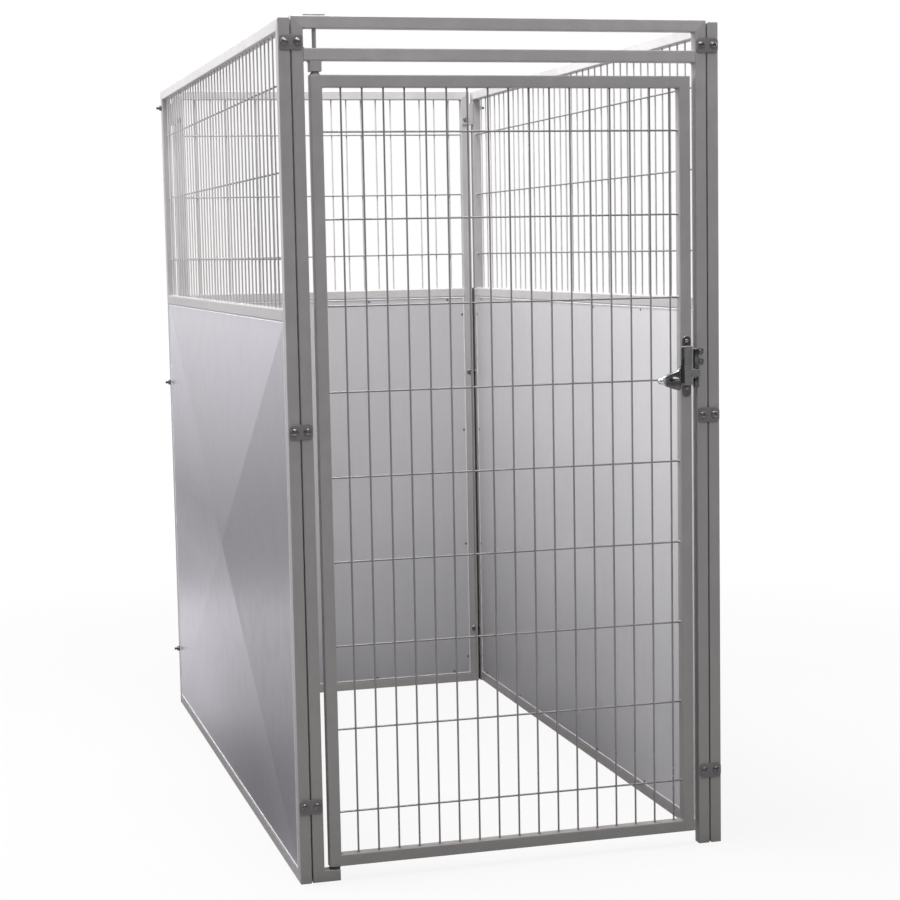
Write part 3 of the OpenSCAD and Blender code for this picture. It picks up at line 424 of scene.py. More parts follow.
for subpart in frame["record"]["subparts"]:
    node = subpart["node"]
    mesh = frame["nodes"][node].data
    mesh.materials.clear()
    mesh.materials.append(FINISH_OF_NODE.get(node, FINISH_OF_SLOT[subpart["material_slot"]]))

# %% [markdown]
# ## Plates with eased edges
#
# Two bolts and a small plate tie each front corner together. A real plate is punched, so its
# corners are round and its rim is eased. It starts as one square face: bevelling the corner
# points rounds the outline, an extrusion gives it depth, and bevelling the rim eases it. All
# modelling is in millimetres, and the finished piece is scaled to metres once.

# %% Tools for pieces, and the corner plates
MM = 0.001
CORNER_HEIGHTS = (168, 974, 1780)


def box_mm(node):
    """A node's lowest and highest corners, in millimetres."""
    return [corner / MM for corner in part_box(node)]


def low_edge(node, axis):
    return round(box_mm(node)[0]["XYZ".index(axis)], 2)


def high_edge(node, axis):
    return round(box_mm(node)[1]["XYZ".index(axis)], 2)


FRONT = box_mm("front_top_rail")[0].y
REAR = box_mm("rear_top_rail")[1].y
TUBE_DEPTH = 25.4
SIDE_OUTER = high_edge("right_front_post", "X")
SIDE_INNER = low_edge("right_front_post", "X")
POST_OUTER = high_edge("front_right_post", "X")
POST_INNER = low_edge("front_right_post", "X")
REAR_INNER = low_edge("rear_right_post", "X")
GATE_OUTER = high_edge("gate_latch_stile", "X")
GATE_INNER = low_edge("gate_latch_stile", "X")
print("half widths:", SIDE_OUTER, SIDE_INNER, POST_OUTER, POST_INNER, REAR_INNER, GATE_OUTER, GATE_INNER)


def moved_verts(result):
    return [part for part in result["geom"] if isinstance(part, bmesh.types.BMVert)]


def facing(out, at):
    """The place of a shape whose Z looks along out and whose Y is upright."""
    out, upright = Vector(out).normalized(), Vector((0, 0, 1))
    return Matrix.Translation(at) @ Matrix((upright.cross(out), upright, out)).transposed().to_4x4()


def along(direction, at):
    """The place of a shape whose Z runs along a direction, however it is turned about it."""
    turn = Vector((0, 0, 1)).rotation_difference(Vector(direction))
    return Matrix.Translation(at) @ turn.to_matrix().to_4x4()


def pour(target, shape, place=Matrix()):
    """Move a finished shape to its place and pour it into the target."""
    bmesh.ops.transform(shape, matrix=place, verts=shape.verts)
    held = bpy.data.meshes.new("held")
    shape.to_mesh(held)
    shape.free()
    target.from_mesh(held)
    bpy.data.meshes.remove(held)


def keep_piece(bm, name, finish, body, stands_for=()):
    bmesh.ops.recalc_face_normals(bm, faces=bm.faces)
    bmesh.ops.scale(bm, vec=(MM, MM, MM), verts=bm.verts)
    for face in bm.faces:
        face.smooth = True
    mesh = bpy.data.meshes.new(name)
    bm.to_mesh(mesh)
    bm.free()
    mesh.set_sharp_from_angle(angle=math.radians(34))
    mesh.materials.append(finish)
    piece = bpy.data.objects.new(name, mesh)
    bpy.context.scene.collection.objects.link(piece)
    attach(piece, body)
    if stands_for:
        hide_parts(*stands_for)
    print(name, "has", len(mesh.polygons), "faces")


def eased_plate(width, height, depth, corner, edge):
    """A plate on XY that rises along Z, with round corners and an eased front rim."""
    bm = bmesh.new()
    bmesh.ops.create_grid(bm, x_segments=1, y_segments=1, size=0.5)
    bmesh.ops.scale(bm, vec=(width, height, 1), verts=bm.verts)
    bmesh.ops.bevel(bm, geom=bm.verts[:], offset=corner, segments=6, profile=0.5,
                    affect="VERTICES", material=-1)
    raised = moved_verts(bmesh.ops.extrude_face_region(bm, geom=bm.faces[:]))
    bmesh.ops.translate(bm, vec=(0, 0, depth), verts=raised)
    rim = [e for e in bm.edges if all(v.co.z > depth / 2 for v in e.verts)]
    bmesh.ops.bevel(bm, geom=rim, offset=edge, segments=3, profile=0.5, affect="EDGES", material=-1)
    return bm


PLATE_THICK = 3
plate_x = (POST_OUTER + SIDE_INNER) / 2
plates = bmesh.new()
for side in (-1, 1):
    for z in CORNER_HEIGHTS:
        pour(plates, eased_plate(51, 32, PLATE_THICK, 8, 0.8), facing((0, -1, 0), (side * plate_x, FRONT, z)))
keep_piece(plates, "corner_plates", plate_coat, "frame", ["front_corner_plates"])

# %% [markdown]
# ## Button-head bolts
#
# The bolts have low domed heads with a six-sided socket. A lathe would turn the dome, so its
# outline is spun round the axis. The outline stops short of the middle, which leaves a round
# hole. A ring of six points is bridged to it, and pushed down and closed to make the socket.

# %% Turn the bolts
def turned(outline, steps=24):
    """A shape from the lathe: the outline of (radius, height) goes round the Z axis."""
    bm = bmesh.new()
    points = [bm.verts.new((radius, 0, height)) for radius, height in outline]
    lines = [bm.edges.new(pair) for pair in zip(points, points[1:])]
    bmesh.ops.spin(bm, geom=points + lines, cent=(0, 0, 0), axis=(0, 0, 1), dvec=(0, 0, 0),
                   angle=math.tau, steps=steps, use_merge=True, use_duplicate=False)
    bmesh.ops.remove_doubles(bm, verts=bm.verts, dist=0.0005)
    bmesh.ops.recalc_face_normals(bm, faces=bm.faces)
    return bm


def button_bolt(shank, length, head, rise, socket):
    """A domed bolt with its seat at the origin, its head along Z and its shank below."""
    band = 0.14 * rise
    mouth = socket * 1.18
    last = math.acos(mouth / head)
    dome = [(head * math.cos(last * i / 6), band + (rise - band) * math.sin(last * i / 6)) for i in range(7)]
    stem = [(0, -length), (shank * 0.8, -length), (shank, -length + shank * 0.3), (shank, 0), (head, 0)]
    bm = turned(stem + dome)
    rim = [e for e in bm.edges if e.is_boundary]
    ring = bmesh.ops.create_circle(bm, segments=6, radius=socket)["verts"]
    bmesh.ops.translate(bm, vec=(0, 0, dome[-1][1] - 0.08 * rise), verts=ring)
    well = list({e for v in ring for e in v.link_edges})
    bmesh.ops.bridge_loops(bm, edges=rim + well)
    low = moved_verts(bmesh.ops.extrude_edge_only(bm, edges=well))
    bmesh.ops.translate(bm, vec=(0, 0, -0.62 * rise), verts=low)
    bmesh.ops.edgeloop_fill(bm, edges=[e for e in bm.edges if e.is_boundary])
    bmesh.ops.recalc_face_normals(bm, faces=bm.faces)
    return bm


BOLT = {"shank": 4, "head": 8.5, "rise": 4, "socket": 2.9}
side_bolt, post_bolt = SIDE_INNER + TUBE_DEPTH / 2, POST_INNER + TUBE_DEPTH / 2
front_bolts = bmesh.new()
for x in (-side_bolt, -post_bolt, post_bolt, side_bolt):
    for z in CORNER_HEIGHTS:
        pour(front_bolts, button_bolt(length=17, **BOLT), facing((0, -1, 0), (x, FRONT - PLATE_THICK, z)))
keep_piece(front_bolts, "corner_bolts", zinc_plate, "frame", ["front_plate_bolts"])

# %% [markdown]
# ## Rear bolts, nuts and threads
#
# At the rear the bolts go right through both tubes, and their ends stick out past the nuts. The
# thread is an outline with teeth, spun like the head: at this size nobody can tell the rings from
# a true screw line. A nut is a six-sided disc, extruded and eased on every edge.

# %% Make the rear bolts and nuts
THREAD_PITCH = 1.25
NUT_SEAT = 28.4
NUT_HEIGHT = 6.5


def threaded_end(radius, length):
    """A thread that starts at the origin and runs down, with a pointed end."""
    teeth = int(length / THREAD_PITCH)
    outline = [(0, 0), (radius, 0)]
    for i in range(teeth):
        outline += [(radius, -(i + 0.3) * THREAD_PITCH), (radius * 0.86, -(i + 0.7) * THREAD_PITCH)]
    return turned(outline + [(radius * 0.75, -length), (0, -length)], 16)


def hex_nut(across, height):
    bm = bmesh.new()
    bmesh.ops.create_circle(bm, cap_ends=True, segments=6, radius=across / 2)
    raised = moved_verts(bmesh.ops.extrude_face_region(bm, geom=bm.faces[:]))
    bmesh.ops.translate(bm, vec=(0, 0, height), verts=raised)
    bmesh.ops.bevel(bm, geom=bm.edges[:], offset=0.55, segments=2, profile=0.5, affect="EDGES", material=-1)
    return bm


SIDE_BOLT_SEAT, SIDE_BOLT_LENGTH = 458.6, 43.4
REAR_BOLT_LENGTH = 37.9
TOP_BRACKET_THICK, TOP_BRACKET_BOLT = 3, 1745
tube_middle, tube_back = REAR - TUBE_DEPTH / 2, REAR - TUBE_DEPTH
rear_places = []
for side in (-1, 1):
    for z in CORNER_HEIGHTS:
        rear_places.append(((side, 0, 0), (side * SIDE_BOLT_SEAT, tube_middle, z), SIDE_BOLT_LENGTH))
    x = side * (REAR_INNER + TUBE_DEPTH / 2)
    for z in CORNER_HEIGHTS[:2]:
        rear_places.append(((0, 1, 0), (x, tube_back, z), REAR_BOLT_LENGTH))
    rear_places.append(((0, 1, 0), (x, tube_back - TOP_BRACKET_THICK, TOP_BRACKET_BOLT), REAR_BOLT_LENGTH))

rear_bolts, rear_nuts = bmesh.new(), bmesh.new()
for out, seat, length in rear_places:
    out, seat = Vector(out), Vector(seat)
    tail = length - NUT_SEAT
    pour(rear_bolts, button_bolt(length=NUT_SEAT, **BOLT), facing(-out, seat))
    pour(rear_bolts, threaded_end(BOLT["shank"], tail), facing(-out, seat + out * NUT_SEAT))
    pour(rear_nuts, hex_nut(15, NUT_HEIGHT), facing(out, seat + out * NUT_SEAT))
keep_piece(rear_bolts, "rear_bolts", zinc_plate, "frame", ["rear_corner_bolts"])
keep_piece(rear_nuts, "rear_nuts", zinc_plate, "frame", ["rear_corner_nuts"])

# %% [markdown]
# ## The lift-out hinge pin
#
# The gate hangs on a rod that drops through the top rail and the transom into the gate, so the
# gate comes off when the rod is drawn. Its head is a flat bar across the top. The rod is turned
# with a tapered end that finds its hole, and the bar is an eased plate.

# %% Make the hinge pin
PIN_RADIUS = 4.5
PIN_TAPER = 2.5

pin_low, pin_high = box_mm("upper_hinge_pin")
pin_axis = (pin_low + pin_high) / 2
head = pin_high - pin_low
pin_seat = box_mm("front_top_rail")[1].z
pin = turned([
    (0, pin_low.z), (PIN_RADIUS - 1.3, pin_low.z), (PIN_RADIUS, pin_low.z + PIN_TAPER),
    (PIN_RADIUS, pin_seat + 0.2), (0, pin_seat + 0.2),
], 32)
pin_piece = bmesh.new()
pour(pin_piece, pin, Matrix.Translation((pin_axis.x, pin_axis.y, 0)))
pour(pin_piece, eased_plate(head.x, head.y, pin_high.z - pin_seat, 3.5, 1.1),
     Matrix.Translation((pin_axis.x, pin_axis.y, pin_seat)))
keep_piece(pin_piece, "hinge_pin", dull_zinc, "upper_hinge_pin", ["upper_hinge_pin"])

# %% [markdown]
# ## The latch
#
# The latch is a slam latch with a thumb lever: a plate on the gate's stile, a boxed housing on
# it, and on the post a strike with two jaws. The plate, the housing and the strike are castings
# with soft edges, so each is put together from eased plates and blocks.

# %% Plate, housing and strike
def eased_block(low, high, edge):
    """A block between two corners with all its edges eased."""
    low, high = Vector(low), Vector(high)
    bm = bmesh.new()
    bmesh.ops.create_cube(bm, size=1)
    bmesh.ops.scale(bm, vec=high - low, verts=bm.verts)
    bmesh.ops.translate(bm, vec=(low + high) / 2, verts=bm.verts)
    bmesh.ops.bevel(bm, geom=bm.edges[:], offset=edge, segments=3, profile=0.5, affect="EDGES", material=-1)
    return bm


STILE_X = 408.5
LATCH_PLATE_THICK = 3
PLATE_FACE = FRONT - LATCH_PLATE_THICK
LEVER_X, LEVER_Y, LEVER_Z = 395.9, -920.85, 1068
LUG_RADIUS, LUG_HEIGHT, LUG_EASE = 2.8, 4, 0.3
LATCH_FACE = -923.35
STRIKE_LOW, STRIKE_HIGH = 1036, 1122
JAW_LEFT, JAW_RIGHT, JAW_BACK = 423.5, 432.0, -912.35
EAR_THICK, EAR_HEIGHTS = 2.5, (1115.5, 1093)

base = bmesh.new()
pour(base, eased_plate(19, 134, LATCH_PLATE_THICK, 9.3, 0.8), facing((0, -1, 0), (STILE_X, FRONT, 1083)))
keep_piece(base, "latch_plate", latch_plate, "gate", ["latch_base_plate"])

housing = bmesh.new()
pour(housing, eased_plate(19, 86, 11, 1.6, 1.2), facing((0, -1, 0), (STILE_X, PLATE_FACE, 1085)))
pour(housing, eased_plate(20, 16, 2, 1.8, 0.6), facing((0, -1, 0), (426, LATCH_FACE, LEVER_Z)))
lug_neck = LUG_RADIUS - LUG_EASE
for z in (1042, 1124):
    top = z + LUG_HEIGHT
    lug = [(0, z), (lug_neck, z), (LUG_RADIUS, z + LUG_EASE),
           (LUG_RADIUS, top - LUG_EASE), (lug_neck, top), (0, top)]
    pour(housing, turned(lug), Matrix.Translation((LEVER_X, LEVER_Y, 0)))
    arm_low, arm_high = (LEVER_X, LEVER_Y - LUG_RADIUS, z), (400.5, LEVER_Y + LUG_RADIUS, top)
    pour(housing, eased_block(arm_low, arm_high, LUG_EASE))
keep_piece(housing, "latch_box", latch_satin, "gate", ["latch_housing"])

strike = bmesh.new()
pour(strike, eased_block((431.1, LATCH_FACE, STRIKE_LOW), (POST_INNER, -893.35, STRIKE_HIGH), 0.5))
for low, high in ((1078, STRIKE_HIGH), (STRIKE_LOW, 1058)):
    pour(strike, eased_block((JAW_LEFT, LATCH_FACE, low), (JAW_RIGHT, JAW_BACK, high), 1.4))
pour(strike, eased_block((425.0, -923.05, 1061), (432.3, -917.35, 1075), 0.6))
for z in EAR_HEIGHTS:
    pour(strike, eased_plate(17.5, 13, EAR_THICK, 4.5, 0.6), facing((0, -1, 0), (439.85, FRONT, z)))
keep_piece(strike, "latch_catch", latch_plate, "frame", ["latch_strike"])

# %% [markdown]
# ## Latch screws
#
# Two screws hold the plate to the stile and two hold the strike to the post. They are small
# button heads, so the bolt function makes them at another size. They ride on different parts,
# because the gate takes its two along when it swings.

# %% Make the screws
SCREW = {"shank": 2.4, "length": 11, "head": 4.2, "rise": 2.4, "socket": 1.7}
PLATE_SCREW_HEIGHTS = (1139.5, 1035.5)
EAR_SCREW_X = 441.1

gate_screws, post_screws = bmesh.new(), bmesh.new()
for z in PLATE_SCREW_HEIGHTS:
    pour(gate_screws, button_bolt(**SCREW), facing((0, -1, 0), (STILE_X, PLATE_FACE, z)))
for z in EAR_HEIGHTS:
    pour(post_screws, button_bolt(**SCREW), facing((0, -1, 0), (EAR_SCREW_X, FRONT - EAR_THICK, z)))
keep_piece(gate_screws, "plate_screws", bright_zinc, "gate", ["latch_screws"])
keep_piece(post_screws, "catch_screws", zinc_plate, "frame", ["latch_strike_screws"])

# %% [markdown]
# ## The thumb lever
#
# The lever is cast like a bent leaf: a web with a slot, a lip along its hollow upper edge, a
# flange that leans back below, and a ball at the thumb end. The outline and the slot are two
# rings of points that are bridged, the lip and the flange are extruded from its edges, and a
# thickness and a subdivision turn the leaf into a soft casting.

# %% Cast the lever
OUTLINE = [
    (-2.6, 19.6), (-4.4, 13.6), (-8.0, 8.4), (-13.0, 4.9), (-25.0, 0.6), (-38.0, -4.6), (-50.0, -9.6),
    (-53.0, -15.5), (-49.0, -21.0), (-36.0, -21.4), (-20.0, -21.5), (-2.6, -21.5), (-2.6, -8.0), (-2.6, 6.0),
]
LIP_EDGES = range(0, 6)
FLANGE_EDGES = range(8, 11)
FLANGE_START, FLANGE_LENGTH = -49.0, 46.4

leaf = bmesh.new()
outer = [leaf.verts.new((x, 0, z)) for x, z in OUTLINE]
outer_lines = [leaf.edges.new((a, b)) for a, b in zip(outer, outer[1:] + outer[:1])]
slot_ring = bmesh.ops.create_circle(leaf, segments=len(OUTLINE), radius=1)["verts"]
slot_place = (Matrix.Translation((-15.1, 0, -10.75)) @ Matrix.Rotation(math.radians(18), 4, "Y")
              @ Matrix.Diagonal((8.2, 1, 3.1, 1)) @ Matrix.Rotation(math.radians(90), 4, "X"))
bmesh.ops.transform(leaf, matrix=slot_place, verts=slot_ring)
slot_lines = list({e for v in slot_ring for e in v.link_edges})
bmesh.ops.bridge_loops(leaf, edges=outer_lines + slot_lines)

lip = bmesh.ops.extrude_edge_only(leaf, edges=[outer_lines[i] for i in LIP_EDGES])
bmesh.ops.translate(leaf, vec=(0.0, -2.3, -1.5), verts=moved_verts(lip))
flange = bmesh.ops.extrude_edge_only(leaf, edges=[outer_lines[i] for i in FLANGE_EDGES])
for v in moved_verts(flange):
    share = (v.co.x - FLANGE_START) / FLANGE_LENGTH
    bmesh.ops.translate(leaf, vec=(0, 1.0 + 3.6 * share, -3.0 - 15.6 * share), verts=[v])
bmesh.ops.recalc_face_normals(leaf, faces=leaf.faces)
bmesh.ops.solidify(leaf, geom=leaf.faces[:], thickness=1.9)
bmesh.ops.subdivide_edges(leaf, edges=leaf.edges[:], cuts=1, use_grid_fill=True)
for _ in range(2):
    bmesh.ops.smooth_vert(leaf, verts=leaf.verts, factor=0.35,
                          use_axis_x=True, use_axis_y=True, use_axis_z=True)

lever = bmesh.new()
lever_place = Matrix.Translation((LEVER_X, LEVER_Y, LEVER_Z))
pour(lever, leaf, lever_place)
knob = bmesh.new()
bmesh.ops.create_uvsphere(knob, u_segments=28, v_segments=16, radius=8)
bmesh.ops.scale(knob, vec=(1.0, 0.85, 0.95), verts=knob.verts)
pour(lever, knob, lever_place @ Matrix.Translation((-50.8, -1.3, -15)))
barrel = [(1.66, -21.7), (2.5, -21.7), (2.8, -21.4), (2.8, 32.0), (2.5, 32.3), (1.66, 32.3), (1.66, -21.7)]
pour(lever, turned(barrel), lever_place)
pour(lever, eased_block((-1.5, 0, -4.5), (1.5, 5.9, 4.5), 0.3), lever_place)
keep_piece(lever, "thumb_lever", lever_metal, "latch_lever", ["latch_lever"])

# %% [markdown]
# ## Weld beads on the tubes
#
# Where two tubes meet in an inside corner, a welder leaves a bead of overlapping ripples, and the
# coat covers it. A bead is a small disc, extruded step by step along the corner and made a little
# thicker and thinner on the way, so the ripples are real.

# %% Lay the beads
RIPPLE = 1.5


def ripple_bead(length, radius):
    """A rippled rod along Z with tapered ends."""
    bm = bmesh.new()
    bmesh.ops.create_circle(bm, cap_ends=True, segments=8, radius=radius * 0.55)
    bm.faces.ensure_lookup_table()
    top, size = bm.faces[0], 0.55
    steps = 2 * round(length / RIPPLE)
    for i in range(1, steps + 1):
        grown = bmesh.ops.extrude_face_region(bm, geom=[top])
        top = next(part for part in grown["geom"] if isinstance(part, bmesh.types.BMFace))
        wanted = 0.55 if i == steps else (1.0 if i % 2 else 0.84)
        bmesh.ops.translate(bm, vec=(0, 0, length / steps), verts=top.verts)
        bmesh.ops.scale(bm, vec=(wanted / size, wanted / size, 1), verts=top.verts)
        size = wanted
    return bm


def lay_beads(target, corners, radius=1.9):
    """Each corner has a start, an end and the direction in which it is open."""
    for start, end, opening in corners:
        start, end, opening = Vector(start), Vector(end), Vector(opening).normalized()
        run = end - start
        pour(target, ripple_bead(run.length, radius), along(run, start + opening * radius * 0.45))


INSET = 2.6
MESH_LOW, MESH_HIGH = high_edge("right_mid_rail", "Z"), low_edge("right_top_rail", "Z")
GATE_LOW, GATE_HIGH = high_edge("gate_bottom_rail", "Z"), low_edge("gate_top_rail", "Z")
foot_top = high_edge("hinge_foot", "Z")
front_from, front_to = FRONT + INSET, FRONT + TUBE_DEPTH - INSET
rear_from, rear_to = REAR - TUBE_DEPTH + INSET, REAR - INSET

transom_low, transom_high = box_mm("front_transom_rail")
front_rail_low = box_mm("front_top_rail")[0].z
frame_corners, gate_corners = [], []
for side in (-1, 1):
    for z, rise in ((transom_high.z, 1), (transom_low.z, -1), (front_rail_low, -1)):
        x = side * POST_INNER
        frame_corners.append(((x, front_from, z), (x, front_to, z), (-side, 0, rise)))
    for z, rise in ((MESH_LOW, 1), (MESH_HIGH, -1)):
        x = side * REAR_INNER
        frame_corners.append(((x, rear_from, z), (x, rear_to, z), (-side, 0, rise)))
        near, far = side * (SIDE_INNER + INSET), side * (SIDE_OUTER - INSET)
        frame_corners.append(((near, FRONT + TUBE_DEPTH, z), (far, FRONT + TUBE_DEPTH, z), (0, 1, rise)))
        frame_corners.append(((near, REAR - TUBE_DEPTH, z), (far, REAR - TUBE_DEPTH, z), (0, -1, rise)))
    for z, rise in ((GATE_LOW, 1), (GATE_HIGH, -1)):
        x = side * GATE_INNER
        gate_corners.append(((x, front_from, z), (x, front_to, z), (-side, 0, rise)))
for x, side in ((-GATE_OUTER, -1), (-GATE_INNER, 1)):
    frame_corners.append(((x, front_from, transom_low.z), (x, front_to, transom_low.z), (side, 0, -1)))
frame_corners.append(((-POST_INNER, front_from, foot_top), (-POST_INNER, front_to, foot_top), (1, 0, 1)))

frame_beads, gate_beads = bmesh.new(), bmesh.new()
lay_beads(frame_beads, frame_corners)
lay_beads(gate_beads, gate_corners)
keep_piece(frame_beads, "frame_weld_beads", tube_coat, "frame")
keep_piece(gate_beads, "gate_weld_beads", tube_coat, "gate")

# %% [markdown]
# ## Spot welds on the wires
#
# The wires are spot welded where they cross, which squeezes a small nugget of metal out between
# them, and each end has a fillet where it meets the tube. There are hundreds of them, so each is
# a ball or a cone with few faces.

# %% Weld the wires
WIRE_PITCH = 45.7
SIDE_LEVELS = (1336.5, 1517.5, 1698.5)
GATE_CROSS_WIRES = 9
gate_step = round((GATE_HIGH - GATE_LOW) / GATE_CROSS_WIRES, 2)
GATE_LEVELS = [GATE_LOW + (i + 0.5) * gate_step for i in range(GATE_CROSS_WIRES)]
UPRIGHT_DEPTH, CROSS_DEPTH = 10.6, 14.8
NUGGET_DEPTH = (UPRIGHT_DEPTH + CROSS_DEPTH) / 2


def add_nugget(target, at, squash):
    ball = bmesh.new()
    bmesh.ops.create_uvsphere(ball, u_segments=8, v_segments=5, radius=1)
    bmesh.ops.scale(ball, vec=squash, verts=ball.verts)
    pour(target, ball, Matrix.Translation(at))


def add_fillet(target, at, direction):
    cone = bmesh.new()
    bmesh.ops.create_cone(cone, cap_ends=True, segments=10, radius1=3.2, radius2=2.08, depth=2.4)
    pour(target, cone, along(direction, Vector(at) + Vector(direction) * 1.2))


def weld_mesh(name, body, finish, spot, uprights, levels, ends, reach, squash):
    """spot(u, depth, z) gives a place in the panel, from its own across, depth and height."""
    bm = bmesh.new()
    for u in uprights:
        for z in levels:
            add_nugget(bm, spot(u, NUGGET_DEPTH, z), squash)
        add_fillet(bm, spot(u, UPRIGHT_DEPTH, ends[0]), (0, 0, 1))
        add_fillet(bm, spot(u, UPRIGHT_DEPTH, ends[1]), (0, 0, -1))
    inward = (spot(1, 0, 0) - spot(0, 0, 0)).normalized()
    for z in levels:
        add_fillet(bm, spot(reach[0], CROSS_DEPTH, z), inward)
        add_fillet(bm, spot(reach[1], CROSS_DEPTH, z), -inward)
    keep_piece(bm, name, finish, body)


def at_front(u, depth, z):
    return Vector((u, FRONT + depth, z))


def at_rear(u, depth, z):
    return Vector((u, REAR - depth, z))


def wires(first, count):
    return [first + WIRE_PITCH * i for i in range(count)]


gate_uprights = wires(-355.5, 17)
rear_uprights = wires(-388.45, 18)
side_uprights = wires(FRONT + 69.05, 38)
CROSSING = (2.3, 1.6, 2.3)
SIDE_CROSSING = (1.6, 2.3, 2.3)

mesh_ends = (MESH_LOW, MESH_HIGH)
side_reach = (FRONT + TUBE_DEPTH, REAR - TUBE_DEPTH)
weld_mesh("gate_wire_welds", "gate", wire_coat, at_front, gate_uprights, GATE_LEVELS,
          (GATE_LOW, GATE_HIGH), (-GATE_INNER, GATE_INNER), CROSSING)
# The closed panels' welds take the paler mesh coat, which is painted light.
weld_mesh("rear_wire_welds", "frame", painted_light_mesh_coat, at_rear, rear_uprights, SIDE_LEVELS,
          mesh_ends, (-REAR_INNER, REAR_INNER), CROSSING)
for side, name in ((-1, "left_wire_welds"), (1, "right_wire_welds")):
    weld_mesh(name, "frame", painted_light_mesh_coat, lambda u, depth, z: Vector((side * (SIDE_OUTER - depth), u, z)),
              side_uprights, SIDE_LEVELS, mesh_ends, side_reach, SIDE_CROSSING)

# %% [markdown]
# ## The bead round each skin
#
# A slim rounded bead closes the seam between each skin and its tubes, inside and outside, and
# shows as a bright line all round: its round top catches the light, and its colour is paler than
# the skin, which is a painted highlight. It lies a little off the tubes, so a dark groove is left
# beside it. It is a rectangle that is inset to a narrow ring, raised, and rounded over.

# %% Run the beads
def seam_bead(width, height, band, rise):
    bm = bmesh.new()
    bmesh.ops.create_grid(bm, x_segments=1, y_segments=1, size=0.5)
    bmesh.ops.scale(bm, vec=(width, height, 1), verts=bm.verts)
    bm.faces.ensure_lookup_table()
    middle = bm.faces[0]
    bmesh.ops.inset_region(bm, faces=[middle], thickness=band, use_boundary=True, use_even_offset=True)
    bmesh.ops.delete(bm, geom=[middle], context="FACES_ONLY")
    raised = moved_verts(bmesh.ops.extrude_face_region(bm, geom=bm.faces[:]))
    bmesh.ops.translate(bm, vec=(0, 0, rise), verts=raised)
    rim = [e for e in bm.edges if all(v.co.z > rise / 2 for v in e.verts) and len(e.link_faces) == 2
           and abs(e.link_faces[0].normal.dot(e.link_faces[1].normal)) < 0.5]
    bmesh.ops.bevel(bm, geom=rim, offset=band * 0.45, segments=4, profile=0.5, affect="EDGES", material=-1)
    return bm


SHEET_LOW, SHEET_HIGH = high_edge("right_bottom_rail", "Z"), low_edge("right_mid_rail", "Z")
sheet_middle, sheet_height = (SHEET_LOW + SHEET_HIGH) / 2, SHEET_HIGH - SHEET_LOW
side_length = REAR - FRONT - 2 * TUBE_DEPTH
side_middle = (REAR + FRONT) / 2
BAND, RISE = 2.8, 1.6
GROOVE = 1.6
SKIN_RECESS = 1.5

seams = bmesh.new()
for outward, depth in ((1, SKIN_RECESS), (-1, TUBE_DEPTH - SKIN_RECESS)):
    for side in (-1, 1):
        pour(seams, seam_bead(side_length - 2 * GROOVE, sheet_height - 2 * GROOVE, BAND, RISE),
             facing((outward * side, 0, 0), (side * (SIDE_OUTER - depth), side_middle, sheet_middle)))
    pour(seams, seam_bead(2 * (REAR_INNER - GROOVE), sheet_height - 2 * GROOVE, BAND, RISE),
         facing((0, outward, 0), (0, REAR - depth, sheet_middle)))


def seam_finish():
    material, place = start_finish("seam_bead")
    cloud = place.noise(30.0, 3)
    # The bead's colour is paler than the skin, a painted highlight.
    end_finish(place, {
        "Base Color": cloud.ease(0.3, 0.7).blend(grey(0.60, METAL_TINT), grey(0.74, METAL_TINT)),
        "Roughness": 0.28 + 0.14 * cloud,
    })
    return material


keep_piece(seams, "sheet_seam_beads", seam_finish(), "frame")

# %% [markdown]
# ## Floor, air and lamps
#
# The photograph has a white ground and light from the sides, from above and from behind, with the
# camera's side in mild shade. The world is bright all round but dim towards the camera's side, and
# the camera itself sees it white. The floor is pale, keeps the run's soft shadow close by, and
# fades to white further out. Four large soft lamps lift the sides, the top and the front.

# %% Build the studio
def seen_directly(start, *kinds):
    path = [start.add("ShaderNodeLightPath", output=kind) for kind in kinds]
    total = path[0]
    for ray in path[1:]:
        total = total.larger(ray)
    return total


def make_world():
    world = bpy.data.worlds.new("studio_air")
    world.use_nodes = True
    world.node_tree.nodes.clear()
    look = Shade(world.node_tree).add("ShaderNodeTexCoord", output="Generated")
    back = look.axis("Y").ease(-0.60, 0.25)
    room = (0.11 + 0.89 * back).larger(look.axis("Z").ease(0.30, 0.95))
    seen = seen_directly(look, "Is Camera Ray", "Is Transmission Ray")
    glossy = seen_directly(look, "Is Glossy Ray")
    level = room * (0.80 + 0.20 * glossy)
    strength = level + (1 - level) * seen
    air = look.add("ShaderNodeBackground", None, {"Color": (1, 1, 1, 1), "Strength": strength})
    look.add("ShaderNodeOutputWorld", None, {"Surface": air})
    return world


# Painted reflection: metal sees the floor in rings of darker and paler grey by distance.
FLOOR_REACH = 30.0
MIRRORED_FLOOR = (
    (0.4, 0.14), (0.7, 0.24), (1.0, 0.46), (1.7, 0.62), (2.6, 0.84), (3.3, 0.42), (4.3, 0.31), (6.0, 0.35),
    (9.0, 0.50), (15.0, 0.64), (30.0, 0.76),
)


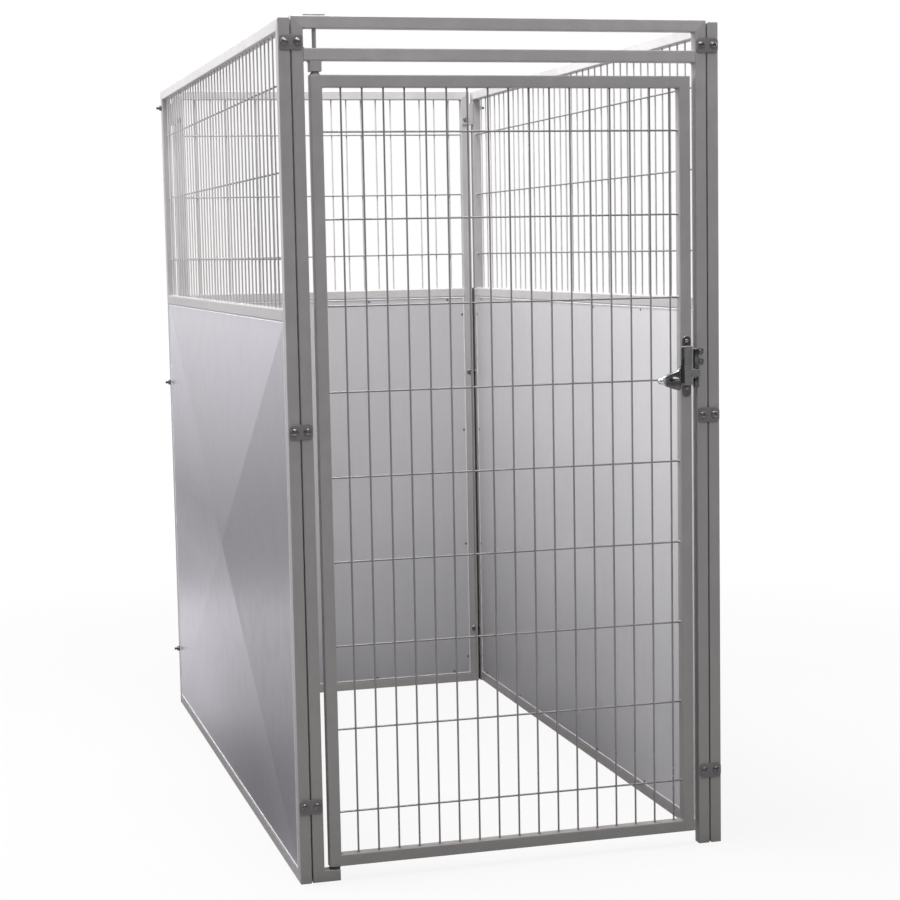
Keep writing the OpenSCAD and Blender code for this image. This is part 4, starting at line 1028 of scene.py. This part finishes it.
def floor_finish():
    material, place = start_finish("pale_floor")
    spread = place.add("ShaderNodeVectorMath", {"operation": "LENGTH"}, {0: place}, output="Value")
    seen = seen_directly(place, "Is Camera Ray", "Is Transmission Ray")
    mirrored = seen_directly(place, "Is Glossy Ray")
    # Painted reflection rings, seen only by glossy rays.
    painted_reflection_rings = (spread / FLOOR_REACH).ramp(
        *((reach / FLOOR_REACH, level) for reach, level in MIRRORED_FLOOR), tint=METAL_TINT)
    glow = mirrored.blend((1, 1, 1, 1), painted_reflection_rings)
    white = place.add("ShaderNodeEmission", None, {"Color": glow, "Strength": 1.06})
    worn = place.noise(2.0, 3).blend(grey(0.34), grey(0.38))
    matt = place.add("ShaderNodeBsdfDiffuse", None, {"Color": worn})
    share = mirrored + seen * (0.82 + 0.18 * spread.ease(1.6, 5.0))
    both = place.add("ShaderNodeMixShader", None, {0: share, 1: matt, 2: white})
    place.add("ShaderNodeOutputMaterial", None, {"Surface": both})
    return material


def add_lamp(name, at, target, size, power):
    lamp = bpy.data.lights.new(name, "AREA")
    lamp.shape = "SQUARE"
    lamp.size = size
    lamp.energy = power
    holder = bpy.data.objects.new(name, lamp)
    turn = (Vector(target) - Vector(at)).to_track_quat("-Z", "Y")
    holder.matrix_world = Matrix.Translation(at) @ turn.to_matrix().to_4x4()
    bpy.context.scene.collection.objects.link(holder)


bpy.context.scene.world = make_world()
ground = bmesh.new()
bmesh.ops.create_grid(ground, x_segments=1, y_segments=1, size=60)
ground_mesh = bpy.data.meshes.new("floor")
ground.to_mesh(ground_mesh)
ground.free()
ground_mesh.materials.append(floor_finish())
floor = bpy.data.objects.new("floor", ground_mesh)
bpy.context.scene.collection.objects.link(floor)
add_lamp("left_softbox", (-3.2, 0.4, 3.4), (0, 0, 1.4), 2.2, 100)
add_lamp("right_softbox", (3.2, 0.0, 3.0), (0, 0, 1.0), 2.2, 50)
add_lamp("top_softbox", (-0.6, -0.5, 4.6), (0, 0.1, 0.6), 1.6, 180)
add_lamp("front_fill", (0.6, -3.8, 4.3), (0, -0.9, 1.7), 2.0, 52)
bpy.context.scene.view_settings.view_transform = "Standard"
print("studio ready")
